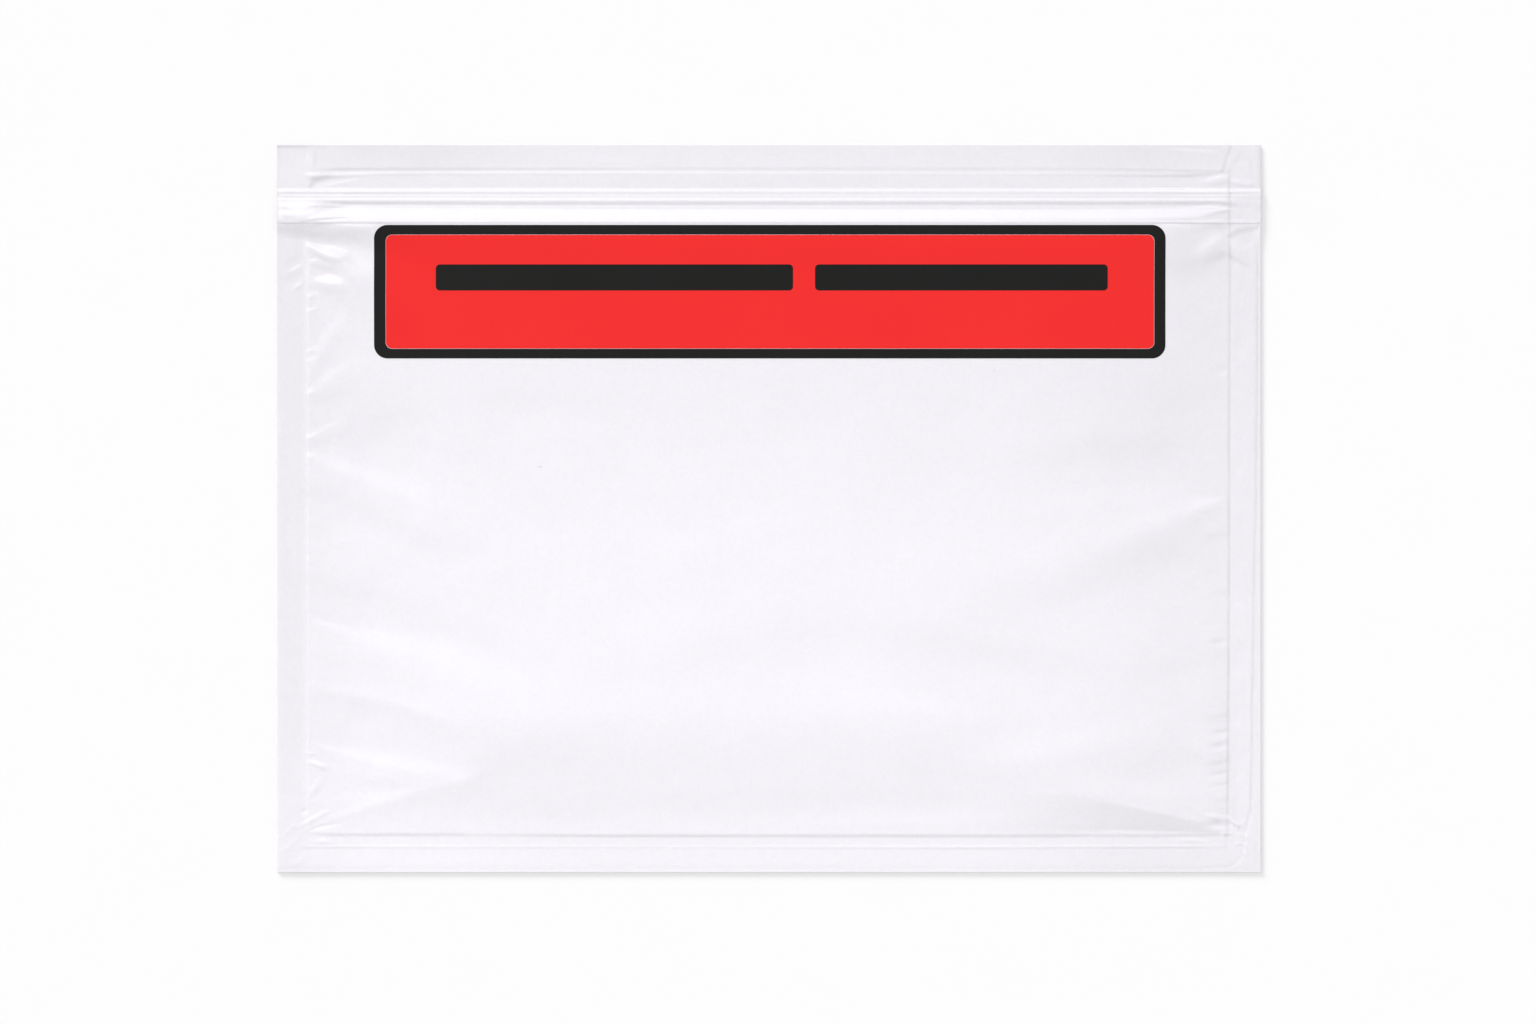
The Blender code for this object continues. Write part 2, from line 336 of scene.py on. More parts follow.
def left_slack(s):
    s.stroke((308, 415, 0, 14, 12), (350, 424, -1.6, 22, 22), (400, 418, -1.8, 26, 24), (450, 404, 0, 24, 20))
    # dark hollow by the seam, then the bright band that leaves it
    s.stroke((306, 445, -3, 5, 6), (320, 441, -3.6, 9, 10), (348, 436, -2.6, 13, 14), (392, 430, 0, 16, 14))
    s.stroke((309, 453, 4, 2.5, 4), (322, 459, 3.6, 6, 8), (348, 469, 4.4, 14, 14), (384, 482, 3.6, 20, 12), (425, 498, 2, 26, 14), (480, 515, 1.2, 30, 18), (540, 530, 0, 30, 20))
    s.stroke((306, 490, -2, 8, 8), (318, 493, -4, 13, 13), (345, 500, -3.0, 14, 18), (375, 514, -3.4, 16, 24), (405, 532, -3.4, 18, 28), (445, 546, -2.2, 22, 28), (500, 556, 0, 24, 26))
    s.stroke((309, 545, 2, 4, 5), (325, 541, 2.2, 5, 8), (350, 538, 1.2, 8, 10), (380, 540, 0, 9, 10))
    s.stroke((430, 575, 0, 16, 20), (480, 560, 1.4, 22, 22), (560, 540, 1.6, 30, 28), (640, 520, 0, 30, 28))
    # dark hollow over the sharp edge of the long bright wedge
    s.stroke((306, 574, -2, 7, 8), (320, 581, -3.2, 12, 20), (345, 592, -3.4, 22, 24), (385, 602, -2.8, 26, 24), (430, 618, -1.8, 28, 22), (490, 640, -1.0, 30, 24), (540, 656, 0, 26, 24))
    s.stroke((312, 606, 0, 4, 5), (316, 612, -4, 5, 5), (322, 616, -4.4, 9, 2), (340, 619, -2.6, 12, 3), (365, 624, -1.6, 14, 5), (400, 632, 0, 16, 8))
    s.stroke((317, 620.5, 5, 2, 5), (328, 622, 6.5, 2.4, 8), (348, 627, 5.0, 4, 14), (375, 633, 3.4, 7, 22), (415, 643, 2.8, 12, 30), (465, 657, 2.4, 18, 40), (520, 676, 1.8, 24, 46), (600, 700, 0, 28, 50))
    # bright run beside the seam
    s.stroke((311, 600, 0, 4, 7), (312, 625, 3.0, 5, 10), (313, 655, 2.6, 5, 10), (313, 685, 2.2, 6, 10), (312, 720, 0, 6, 10))
    s.stroke((318, 656, 0, 10, 14), (350, 664, -2.4, 16, 16), (385, 672, -1.8, 18, 16), (425, 684, 0, 18, 14))
    # light band, and the dark wedge with a crisp upper side
    s.stroke((312, 682, 1.6, 8, 4), (345, 689, 2.2, 12, 5), (380, 696, 2.2, 14, 6), (412, 705, 2.2, 16, 6), (445, 715, 1.8, 18, 8), (500, 726, 0, 20, 10))
    s.stroke((312, 692, -1, 3, 8), (330, 695.5, -3.6, 3.5, 18), (365, 701, -3.8, 4, 26), (400, 708, -3.6, 4, 28), (430, 717, -3.0, 5, 24), (452, 726, -1.5, 8, 18), (480, 735, 0, 10, 12))
    s.stroke((440, 712, 0, 24, 16), (520, 712, 1.4, 34, 16), (600, 706, 1.0, 36, 18), (680, 706, 0, 32, 18))
    # bright wedge from the seam to the slack film's corner
    s.stroke((307, 738.5, 3, 1.6, 2), (314, 741, 6.5, 2.4, 4), (330, 747, 5.2, 6, 7), (352, 752, 5.4, 11, 9), (385, 760, 5.2, 15, 11), (420, 767, 4.8, 17, 11), (455, 774, 4.4, 18, 8), (472, 773, 3, 17, 5), (478, 764, 0, 14, 3))
    s.stroke((306, 770, -2, 4, 4), (325, 775, -4, 6, 6), (355, 780, -4.2, 6, 6), (390, 783.6, -3.2, 5, 5), (425, 785.6, -1.6, 4, 4), (450, 783, 0, 4, 3))
    s.stroke((310, 800, 4, 6, 4), (322, 794, 5.4, 7, 8), (345, 791, 5.0, 6, 12), (370, 793, 4.2, 6, 10), (400, 791, 3.4, 5, 6), (430, 788, 0, 4, 3))
    # long sharp crease, with the film falling away below it
    s.stroke((318, 821.4, 3, 5, 1), (338, 815.2, 4.4, 7, 1), (352, 811.0, 5, 9, 1), (372, 804.2, 5, 11, 1), (400, 796.0, 4.4, 11, 1), (432, 786.2, 3.6, 9, 1), (464, 778.6, 3, 9, 1), (473, 773.6, 2, 7, 1), (477, 765, 1.5, 5, 1), (480, 755, 0, 5, 1))
    s.stroke((326, 821.8, -1, 1, 9), (340, 817.2, -3.4, 1, 12), (352, 813.4, -4.2, 1.2, 18), (372, 806.6, -4.4, 1.2, 26), (400, 798.4, -4.4, 1.2, 34), (432, 788.6, -4.2, 1.2, 46), (464, 781, -3.8, 1.2, 56), (476, 775, -3.0, 1.2, 40), (480, 764, -2.2, 2, 34), (484, 752, 0, 3, 24))
    s.stroke((478, 758, -1.0, 8, 40), (510, 746, -1.5, 9, 46), (560, 737, -1.5, 14, 50), (640, 729, -0.9, 20, 50), (760, 731, -0.7, 22, 50), (880, 746, -0.9, 22, 50), (980, 768, -1.0, 20, 44), (1040, 783, 0, 20, 36))


def middle_slack(s):
    s.stroke((630, 676, 0, 26, 24), (700, 656, -1.6, 32, 32), (800, 640, -1.8, 34, 40), (880, 638, -2.0, 32, 42), (960, 650, -1.9, 28, 34), (1040, 656, -1.7, 24, 28), (1110, 662, 0, 22, 22))
    s.stroke((680, 640, 0, 22, 20), (800, 616, -0.7, 24, 26), (880, 614, -0.8, 22, 26), (950, 636, -0.9, 24, 26), (1040, 662, -1.4, 26, 20), (1120, 668, 0, 20, 20))
    s.stroke((790, 700, 0, 16, 14), (860, 698, 1.6, 18, 16), (925, 704, 2.6, 18, 16), (985, 716, 0, 16, 12))
    s.stroke((730, 821, 0, 8, 8), (800, 820, 2.6, 10, 9), (880, 818, 4, 11, 9), (960, 816, 3.4, 11, 9), (1040, 812, 0, 8, 8))
    s.stroke((480, 818, 0, 20, 12), (560, 812, -1.4, 22, 12), (700, 805, -1.2, 26, 14), (860, 796, -1.4, 26, 14), (1000, 800, 0, 20, 12))
    s.stroke((420, 400, 0, 24, 20), (500, 396, -1.2, 26, 24), (580, 404, -1.0, 28, 24), (660, 398, 0, 26, 20))
    s.stroke((590, 560, 0, 30, 26), (660, 548, 1.2, 34, 30), (760, 520, 1.4, 36, 32), (860, 512, 0, 34, 30))
    s.stroke((860, 470, 0, 26, 24), (940, 452, -1.4, 30, 26), (1010, 448, 0, 28, 24))
    s.stroke((820, 560, 0, 22, 20), (900, 550, 1.2, 26, 22), (980, 545, 0, 24, 20))
    # quiet unevenness all over the slack film
    inside = smooth01((s.U - 300) / 40) * smooth01((1236 - s.U) / 40) * smooth01((838 - s.V) / 24) * smooth01((s.V - 362) / 24)
    s.T += inside * (1.1 * waves2(s.U, s.V, 15, 52.0, 2, 1.2) + 1.1 * waves2(s.U, s.V, 16, 17.0, 2, 1.0))


def right_slack(s):
    # dark hollows
    s.stroke((1130, 390, 0, 20, 20), (1180, 386, -1.4, 24, 26), (1224, 384, -1.4, 20, 24))
    s.stroke((1110, 418, 0, 18, 20), (1165, 408, -1.2, 24, 26), (1212, 402, -0.8, 18, 20))
    s.stroke((990, 470, 0, 26, 22), (1050, 456, -2.0, 26, 22), (1100, 449, -3.0, 26, 22), (1150, 447, -3.0, 26, 22), (1200, 444, -1.4, 24, 18), (1224, 440, 0, 12, 12))
    s.stroke((1196, 434, 0, 6, 7), (1212, 431, -2.6, 7, 7), (1227, 424, -1, 5, 5))
    s.stroke((1196, 448, 0, 3, 4), (1212, 443, 3.0, 3.5, 4), (1229, 435, 1, 3, 3))
    s.stroke((1170, 470, 0, 8, 6), (1206, 466, -3.0, 10, 6), (1229, 460, -2, 8, 5))
    # bright wedge, and what falls away under it
    s.stroke((1229, 495, 3, 3, 3), (1218, 499, 8, 9, 3), (1200, 505, 6.6, 16, 5), (1172, 514, 4.6, 24, 9), (1140, 525, 3.6, 32, 14), (1100, 536, 3.0, 36, 18), (1050, 548, 2.0, 38, 22), (980, 560, 0, 40, 24))
    s.stroke((1224, 492, 0, 4, 8), (1200, 491, 2.6, 7, 14), (1160, 490, 3.2, 10, 24), (1110, 494, 2.8, 14, 30), (1050, 504, 1.8, 20, 32), (980, 516, 0, 26, 34))
    s.stroke((1229, 503, -1, 2, 6), (1212, 509, -2.6, 2.5, 14), (1190, 519, -3.0, 3, 24), (1160, 535, -3.2, 5, 32), (1130, 550, -3.0, 8, 36), (1090, 566, -2.2, 12, 36), (1040, 584, -1.2, 18, 36), (970, 602, 0, 20, 36))
    s.stroke((1229, 532, -1, 14, 14), (1190, 548, -2.2, 20, 26), (1140, 566, -2.6, 22, 28), (1090, 584, -2.2, 22, 24), (1030, 600, 0, 22, 24))
    s.stroke((1090, 630, 0, 16, 18), (1130, 622, 0.9, 18, 20), (1180, 616, 0, 16, 20))
    s.stroke((1090, 680, 0, 20, 20), (1150, 668, -2.0, 24, 22), (1200, 658, -2.4, 18, 18), (1228, 650, -1.2, 12, 14))
    s.stroke((1180, 716, 0, 10, 10), (1206, 716, -1.8, 10, 10), (1228, 716, -1.4, 8, 8))
    s.stroke((940, 768, 0, 20, 10), (985, 758, 2.6, 26, 16), (1040, 748, 3.2, 28, 20), (1090, 738, 2.8, 26, 22), (1140, 728, 1.6, 22, 20), (1190, 720, 0, 16, 16))
    s.stroke((1120, 768, 0, 14, 14), (1160, 762, -2.0, 20, 20), (1196, 758, -2.8, 20, 20), (1227, 756, -1.4, 12, 12))
    s.stroke((1050, 780, 0, 8, 8), (1100, 784, 1.6, 14, 14), (1150, 792, 1.6, 14, 16), (1200, 800, 0, 12, 12))
    # crease towards the lower right corner, with the dark film under it
    s.stroke((1018, 789, 0, 1.2, 1.6), (1030, 788.2, 4, 1.4, 1.8), (1048, 789.0, 4.4, 1.4, 1.8), (1060, 790.4, 2, 1.4, 2), (1068, 792, 0, 1.4, 2))
    s.stroke((1030, 784, 0, 4, 1.6), (1046, 786.0, -3, 5, 1.6), (1060, 788.4, 0, 4, 1.6))
    s.stroke((1062, 790.6, 0, 6, 1), (1090, 795.6, 1.2, 8, 1.4), (1120, 802.6, 1.6, 8, 1.4), (1160, 810.6, 1.8, 8, 1.4), (1196, 819, 2, 6, 1.4), (1214, 825, 0, 3, 1.4))
    s.stroke((1000, 802, 0, 8, 34), (1036, 799, -1.2, 6, 40), (1064, 793.6, -2.8, 1.6, 42), (1092, 798.8, -4.2, 1.4, 38), (1122, 806, -6.0, 1.4, 32), (1162, 814, -7.6, 1.4, 26), (1198, 822.6, -8.0, 1.4, 16), (1222, 829.8, -4, 1.4, 8), hold=0.45)
    s.stroke((980, 828, 0, 5, 5), (1040, 827, -3, 7, 6), (1100, 828, -4, 8, 6), (1170, 831, -4, 6, 4), (1215, 833, 0, 4, 3))


def upper_right_slack(s):
    # bright leaf by the print's corner, then the shadow of the flap
    s.crease((1158, 225, 0, 3, 2.4), (1168, 225, 8, 4, 3), (1180, 226, 5, 4, 3), (1192, 226, 0, 3, 3))
    s.crease((1180, 238, 0, 3, 4), (1190, 233, -2.4, 4, 5), (1204, 229, -4, 4, 4), (1218, 227, -4, 3, 4), (1228, 227, -2, 3, 4))
    s.crease((1188, 258, 0, 7, 7), (1202, 248, 5.6, 7, 7), (1212, 241, 6.6, 6, 6), (1222, 236, 4.4, 5, 5), (1229, 233, 0, 4, 4))
    s.crease((1196, 268, 0, 5, 5), (1210, 260, -3.6, 6, 7), (1222, 255, -5.4, 5, 6), (1229, 253, -3, 4, 5))
    s.crease((1168, 276, 0, 8, 8), (1186, 268, -2.2, 9, 9), (1206, 262, 0, 8, 8))


def right_wrinkles(g):
    # corner
    g.fold((1202, 814, 0, 3, 3), (1216, 817, 7, 4, 4), (1230, 818.5, 3, 2.5, 3))
    g.fold((1203, 824, -1, 4, 4), (1216, 825, -7, 5, 4), (1229, 825, -3, 4, 3))
    g.fold((1220, 834, 0, 2, 2), (1226, 833.5, 8, 2.4, 2.4), (1232, 833, 2, 2, 2))
    g.fold((1228, 817, 4, 2, 2.5), (1234, 822.5, 9, 2.4, 2.6), (1238, 826.5, 6, 2, 2.4), (1232, 834, 0, 2, 2.2))
    g.fold((1236, 826.5, 4, 2, 2.4), (1243, 822, 6, 2, 2.4), (1250, 817.5, 3, 2, 2.2))
    for pts in [((1232, 838), (1238, 834), (1246, 836), (1250, 842)), ((1231, 850), (1238, 843), (1246, 846), (1246, 856)), ((1236, 858), (1243, 852), (1249, 856))]:
        rows = [(u, v, 0 if k in (0, len(pts) - 1) else 4.5, 1.8, 2.2) for k, (u, v) in enumerate(pts)]
        g.fold(*rows)
    g.fold((1172, 841, 0, 2.4, 2.4), (1190, 840, 4.5, 2.6, 2.6), (1217, 842, 0, 2.4, 2.4))
    g.fold((1227, 835, -4, 2, 2), (1227.4, 841, -8, 2, 2), (1227, 848, -2, 2, 2))
    # the coat's round corner, and its lower edge that fades to the left
    g.fold((1249.3, 812, -3, 2, 2), (1249.2, 817, -13, 2.4, 2.4), (1248, 823, -5, 2, 2), (1245, 835, -5, 2, 2), (1243, 850, -7, 2, 2), (1240.5, 857, -7, 2, 2),
           (1236, 862, -8, 2, 2), (1228, 866.2, -8, 2, 2), (1210, 868.6, -8, 2.2, 2), (1185, 869.6, -12, 2.6, 2), (1150, 869.8, -12, 2.8, 2), (1110, 870.2, -10, 2.6, 2), (1075, 871, -4, 2, 2), (1050, 872, 0, 2, 2))


def seam_creases(s):
    """Short creases along both seams and over the welded margins."""
    # streaks over the margin
    s.crease((287, 275, 0, 2.4, 3), (296, 269, 3.2, 3, 3.4), (305, 262, 0, 3, 3))
    s.crease((284, 266, 0, 4, 4), (294, 259, -3.4, 4, 4), (304, 252, 0, 3, 3))
    s.crease((288, 289, 0, 3, 3), (297, 283, 3.2, 3.4, 3.6), (305, 277, 0, 3, 3))
    s.crease((283, 281, 0, 4, 4), (294, 275, -3, 4, 4), (305, 268, 0, 3, 3))
    # ticks along the seam
    for u, v, a in [(309, 295, 8), (308.6, 309.5, 9), (307.6, 350, 6), (307.6, 360, 5), (308, 392, 7), (308, 436, 8), (308, 456, 4), (307.6, 519, 4), (307.6, 558, 4)]:
        s.crease((u - 3, v + 1.5, a * 0.3, 1.4, 1.8), (u + 1, v, a, 1.8, 2), (u + 6, v - 1.6, a * 0.5, 2, 2.4), (u + 13, v - 4, 0, 2.4, 3), gain=1.05)
        s.crease((u - 2, v + 4.5, 0, 1.6, 2.4), (u + 3, v + 3.4, -0.45 * a, 1.8, 3), (u + 11, v + 1, 0, 2, 3), gain=1.05)
    # over the margin
    s.crease((1230, 236, -7, 3, 3), (1240, 231.5, -10, 3.4, 3.4), (1252, 229, -9, 3.4, 3.4), (1259, 228, -8, 3, 3))
    s.crease((1231, 240, 5, 2, 4), (1235, 245, 6, 3, 4.5), (1242, 249, 0, 3, 4))
    s.crease((1234, 255, 2, 1.2, 1.4), (1242, 250, 7, 1.3, 1.4), (1251, 244.6, 5, 1.3, 1.4), (1256, 241, 0, 1.2, 1.3))
    s.crease((1229, 256, -7, 2, 2.6), (1236, 260, -7, 2.2, 2.8), (1245, 264.5, -4, 2, 2.4), (1252, 268, 0, 2, 2))
    s.crease((1231, 262, 0, 2, 3), (1236, 268, 3.6, 3, 4), (1242, 276, 0, 3, 4))
    for u, v, a, w in [(1240, 300, 2.6, 5), (1236, 338, -2.2, 5), (1243, 352, 2.2, 6), (1238, 392, 2.4, 5), (1246, 436, 2.6, 4), (1240, 474, 3, 5), (1238, 520, -2, 6), (1244, 566, 2.4, 6), (1238, 604, 2.6, 5),
                       (1242, 642, -2.4, 5), (1240, 668, 3.4, 4), (1244, 690, -2.2, 5), (1238, 722, 2.4, 6), (1244, 752, -2, 6), (1240, 778, 2.8, 5)]:
        s.crease((u - 7, v + 6, 0, w * 0.6, w * 0.7), (u, v, a, w * 0.8, w), (u + 7, v - 5, 0, w * 0.6, w * 0.7))
    # ticks along the seam
    for u, v, a in [(1212, 308, 2.6), (1214, 326, -2.6), (1190, 344, -2), (1224, 374, 5), (1224, 366, -4), (1214, 535, -4), (1212, 570, -2.6), (1225, 592, -5), (1210, 628, 2.6), (1216, 640, -6), (1222, 644, 4),
                    (1220, 716, -4), (1221, 735.5, 6), (1221, 730, -6), (1220, 748.5, 6), (1219, 743, -6), (1217, 762, -7), (1217, 776.5, 5), (1220, 771, -5), (1217, 787.5, 5), (1221, 783, -4), (1224, 793, 4), (1221, 805, 3)]:
        s.crease((u - 16, v + 3, 0, 2, 2.4), (u, v, a, 2.4, 2.8), (min(u + 9, 1229), v - 1.5, a * 0.5, 2.0, 2.4), (1231, v - 2.5, 0, 1.6, 2), gain=1.6)


def pocket_lift(g):
    """The slack of the empty pocket: a low pillow that comes down at the seams."""
    across = smooth01((g.U - 300.0) / 190.0) * smooth01((1232.0 - g.U) / 170.0)
    along = smooth01((840.0 - g.V) / 128.0) * smooth01((g.V - 172.0) / 96.0)
    return 0.50 * across * along


def front_lines():
    s = Shade()
    side_margins(s)
    upper_right_slack(s)
    seam_creases(s)
    # seams of the pocket
    s.line([(190, 304.6, 4), (300, 304.6, 4), (500, 304.6, 3.5), (800, 304.6, 3), (828, 304.4, 2), (834, 304, 0)], 1.1, 1.3, seed=21, along_v=True)
    s.line([(190, 307.6, 9), (240, 307.6, 9), (330, 307.6, 9), (600, 307.6, 9), (700, 307.6, 9), (822, 307.6, 7), (832, 307.6, 0)], 1.2, 1.5, beads=0.3, seed=22, along_v=True)
    s.line([(190, 1230.0, -12), (260, 1229.6, -14), (400, 1228.8, -15), (560, 1228.6, -15), (690, 1228.0, -17), (800, 1227.2, -16), (840, 1227.0, -9), (850, 1227, 0)], 1.7, 2.0, beads=0.35, seed=23, along_v=True)
    s.line([(228, 1232.4, 0), (300, 1232.2, 1.5), (600, 1231.6, 2), (820, 1230.4, 1.5), (850, 1230, 0)], 1.6, 2.6, seed=24, along_v=True)
    # bottom fold of the pocket, then the weld line under it
    s.line([(300, 832, 0), (309, 832.6, -5), (325, 834.0, -14), (350, 834.2, -17), (400, 834.2, -17), (450, 834.0, -15), (480, 834.5, -8), (540, 834.9, -13), (560, 835.2, -18), (700, 835.3, -20), (1000, 835.3, -17),
            (1060, 835.0, -16), (1150, 834.9, -13), (1200, 834.5, -15), (1226, 834, -5), (1232, 834, 0)], 2.3, 2.7, beads=0.25, seed=31, hold=0.1)
    s.line([(296, 845, 0), (308, 845.2, 6), (330, 845.0, 8), (480, 845.2, 7), (700, 845.4, 8), (840, 845.4, 9), (1000, 845.4, 10), (1110, 844.8, 10), (1190, 844.6, 10), (1226, 844.4, 4), (1234, 844, 0)], 1.1, 1.2, seed=32)
    s.line([(296, 846.8, 0), (308, 847, -11), (330, 846.9, -13), (480, 847.1, -9), (700, 847.2, -8), (840, 847.7, -11), (960, 847.8, -15), (1110, 847.2, -16), (1190, 847.1, -16), (1226, 846.6, -5), (1234, 846, 0)],
           1.2, 1.6, beads=0.25, seed=33)
    return s


def front_relief(g):
    """Height of the front film's lower face over its welded state, in millimetres."""
    U, V = g.U, g.V
    broad = slack_film()
    between = smooth01((U - 279) / 26) * smooth01((1258 - U) / 28) * smooth01((870 - V) / 30) * smooth01((V - 196) / 26)
    g.H += 0.95 * between * broad.at(broad.height(), U, V)
    g.H += pocket_lift(g)
    # the film stays up over the lower right corner's dark fall
    g.H += 0.34 * smooth01((U - 930.0) / 170.0) * smooth01((1246.0 - U) / 42.0) * smooth01((V - 560.0) / 220.0) * smooth01((851.0 - V) / 58.0)
    # fold that runs down from under the flap's left end, along the light
    du, dv = U - 322.0, V - 240.0
    along, beside = TO_LIGHT[0] * du + TO_LIGHT[1] * dv, TO_LIGHT[0] * dv - TO_LIGHT[1] * du
    g.H += 0.26 * smooth01(1.0 - np.abs(beside) / 36.0) * smooth01((along + 32.0) / 24.0) * smooth01((170.0 - along) / 130.0)
    # quiet unevenness of slack film, less in the welded margins
    inside = smooth01((U - 300) / 30) * smooth01((1235 - U) / 30) * smooth01((842 - V) / 24) * smooth01((V - 212) / 30)
    g.H += inside * (0.020 * waves2(U, V, 5, 150.0, 2, 1.8) + 0.0045 * waves2(U, V, 6, 34.0, 2))
    g.H = 0.5 * (g.H + 0.01 + np.sqrt((g.H + 0.01) ** 2 + 0.016**2))
    lines = front_lines()
    g.H += lines.at(lines.height(40.0), U, V)
    left_wrinkles(g)
    lower_left(g)
    right_wrinkles(g)
    g.H += 0.0016 * waves2(U, V, 7, 16.0, 2)
    # the welded rim lies lower at the right and at the bottom
    g.H += 0.05 * smooth01((U - 1150.0) / 40.0) * smooth01((1252.0 - U) / 18.0) * smooth01((V - 224.0) / 16.0) * smooth01((350.0 - V) / 60.0)
    g.H += 0.046 - 0.036 * np.maximum(smooth01((U - 1252.0) / 8.0), smooth01((V - 863.0) / 8.0))
    # flat under the print, and low under the flap
    under = 1.0 - smooth01((V - 200.0) / 26.0)
    g.H = g.H * (1.0 - under) + under * (0.016 + 0.10 * pocket_lift(g))
    print("front relief from", round(float(g.H.min()), 3), "to", round(float(g.H.max()), 3), "mm")
    g.H = 0.5 * (g.H + np.sqrt(g.H**2 + 0.008**2))
    return g.H


def flap_shade():
    s = Shade(145.0, 225.0)
    # outer edge
    s.line([(277, 147, -24), (296, 147, -22), (310, 146.8, -9), (330, 146.6, -4), (900, 146.6, -3), (1260, 146.8, -3)], 1.6, 2.0, seed=71)
    # streaks at the left end of the top margin
    s.crease((305, 166, 0, 1.6, 2), (308, 156, 4, 1.8, 2.4), (309, 149, 0, 1.6, 2))
    s.crease((313, 172, 0, 1.4, 1.6), (314, 162, -4, 1.6, 1.8), (316, 151, -3, 1.6, 1.8), (317, 147, 0, 1.4, 1.6))
    s.crease((310, 172, 0, 1.4, 1.6), (311.6, 162, 3, 1.4, 1.6), (313.4, 152, 0, 1.4, 1.6))
    # dark corner of the top weld and the streak in it
    s.stroke((309.6, 189.4, -12, 1.4, 1.8), (311, 184, -16, 1.8, 3.6), (314, 180, -17, 2.4, 5.5), (320, 178, -16, 2.4, 5), (328, 177, -8, 2, 3), (336, 176.8, 0, 1.5, 2))
    s.stroke((309, 177.4, -8, 1.4, 5), (318, 177.6, -12, 1.4, 6), (328, 177.4, -12, 1.4, 4.4), (342, 177.2, -9, 1.4, 3), (360, 176.8, -5, 1.4, 2.4), (384, 176.4, 0, 1.4, 2))
    s.stroke((318, 187, 0, 1.6, 1.6), (328, 184.6, 5, 1.8, 1.8), (342, 181.6, 6, 1.6, 1.8), (356, 179.6, 3, 1.4, 1.6), (366, 178.6, 0, 1.2, 1.4))
    s.stroke((322, 189, 0, 1.4, 1.4), (338, 186.6, -4, 1.6, 1.6), (354, 183, -3, 1.6, 1.6), (372, 180.4, 0, 1.4, 1.4))
    s.stroke((307.6, 179.6, 0, 1.4, 1.4), (308.4, 177.6, 9, 1.5, 1.5), (309.6, 175.8, 0, 1.4, 1.4))
    # whitened end of the lap at the left
    s.stroke((280, 204, 5, 4, 4), (290, 205, 7, 5, 6), (302, 205, 7, 5, 6), (314, 204.6, 6, 3, 3), (324, 204.6, 0, 2, 2))
    s.stroke((281, 213, 5, 4, 4), (292, 213, 7, 5, 5), (302, 213, 7, 5, 5), (312, 213, 5, 4, 4), (320, 212, 0, 3, 3))
    s.line([(190, 280.6, 4), (194, 280.6, 12), (218, 280.6, 12), (222, 280.6, 0)], 1.5, 1.5, seed=72, along_v=True)
    # dark lines into the lap at the left, and the pointed start of its bright band
    s.stroke((306, 206.6, 0, 1.2, 1.4), (316, 207.2, -12, 1.4, 1.6), (332, 207.4, -12, 1.4, 1.6), (342, 206.8, -8, 1.4, 1.6), (354, 205.4, 0, 1.2, 1.4))
    s.stroke((318, 201.4, 0, 1.2, 1.2), (330, 201.4, -9, 1.2, 1.3), (342, 202, -9, 1.3, 1.4), (352, 202.6, 0, 1.2, 1.3))
    s.stroke((309, 219, 8, 1.6, 1.2), (318, 216.4, 13, 3, 2.4), (328, 214.4, 14, 4.4, 3.6), (340, 213.2, 9, 4.4, 4.6), (352, 213, 0, 4, 4))
    s.stroke((300, 223, -10, 1.6, 2.2), (310, 221, -13, 1.4, 2), (324, 219.4, -13, 1.2, 1.6), (340, 218, -12, 1.2, 1.5), (356, 217, -9, 1.2, 1.4), (400, 216.8, -5, 1.1, 1.3), (460, 216.8, 0, 1.0, 1.2))
    s.stroke((312, 222.4, 0, 1.0, 1.2), (326, 221.4, 10, 1.1, 1.2), (344, 219.8, 11, 1.1, 1.2), (380, 219.2, 7, 1.0, 1.2), (430, 219, 0, 1.0, 1.1))
    # top margin at the right
    s.crease((1162, 148.4, 0, 1.2, 1.3), (1180, 150, 6, 1.4, 1.5), (1204, 151.4, 6, 1.4, 1.5), (1222, 152, 0, 1.2, 1.3))
    s.crease((1168, 154, 0, 1.4, 1.6), (1178, 160, 3, 1.6, 1.8), (1188, 165, 0, 1.4, 1.6))
    s.crease((1230.5, 147, -7, 1.5, 1.7), (1228, 155, -9, 1.6, 1.8), (1225, 164, -9, 1.6, 1.8), (1221.6, 172, -8, 1.6, 1.8))
    s.crease((1229.6, 154, 0, 1.4, 1.4), (1227.8, 160, 9, 1.6, 1.6), (1225.8, 167, 0, 1.4, 1.4))
    s.crease((1244, 149, 0, 1.4, 1.6), (1238, 157, -5, 1.5, 1.8), (1232, 167, -3, 1.5, 1.8), (1229, 172, 0, 1.4, 1.5))
    s.crease((1251, 156, 0, 1.4, 1.6), (1250.6, 168, -4, 1.5, 1.8), (1252, 180, -3, 1.4, 1.6), (1254, 186, 0, 1.4, 1.4))
    s.crease((1160, 175.4, 0, 1.4, 2), (1186, 175.2, -6, 1.6, 2.4), (1210, 174.2, -7, 1.6, 2.2), (1222, 173.2, 0, 1.4, 1.8))
    s.stroke((1196, 184, 0, 2, 1.6), (1208, 180.4, 9, 3, 2), (1220, 177.4, 14, 3, 1.8), (1228, 176, 6, 2, 1.4))
    s.crease((1204, 187, 0, 2, 2), (1216, 185, -6, 2.4, 2.6), (1228, 183, -4, 2, 2.6))
    s.crease((1231, 179.6, 4, 1.6, 1.8), (1237, 180.6, 7, 2, 2), (1244, 183, 3, 1.8, 2), (1250, 181.6, 5, 1.6, 2.2), (1256, 184, 0, 1.4, 1.6))
    s.crease((1230, 184.6, 0, 2, 2), (1240, 186, -5, 2, 2.2), (1252, 187, -4, 2, 2), (1259, 187, 0, 1.6, 1.6))
    s.line([(170, 1229.2, -6), (178, 1229.2, -19), (200, 1229.2, -19), (224, 1229, -19)], 1.7, 1.9, beads=0.4, seed=73, along_v=True)
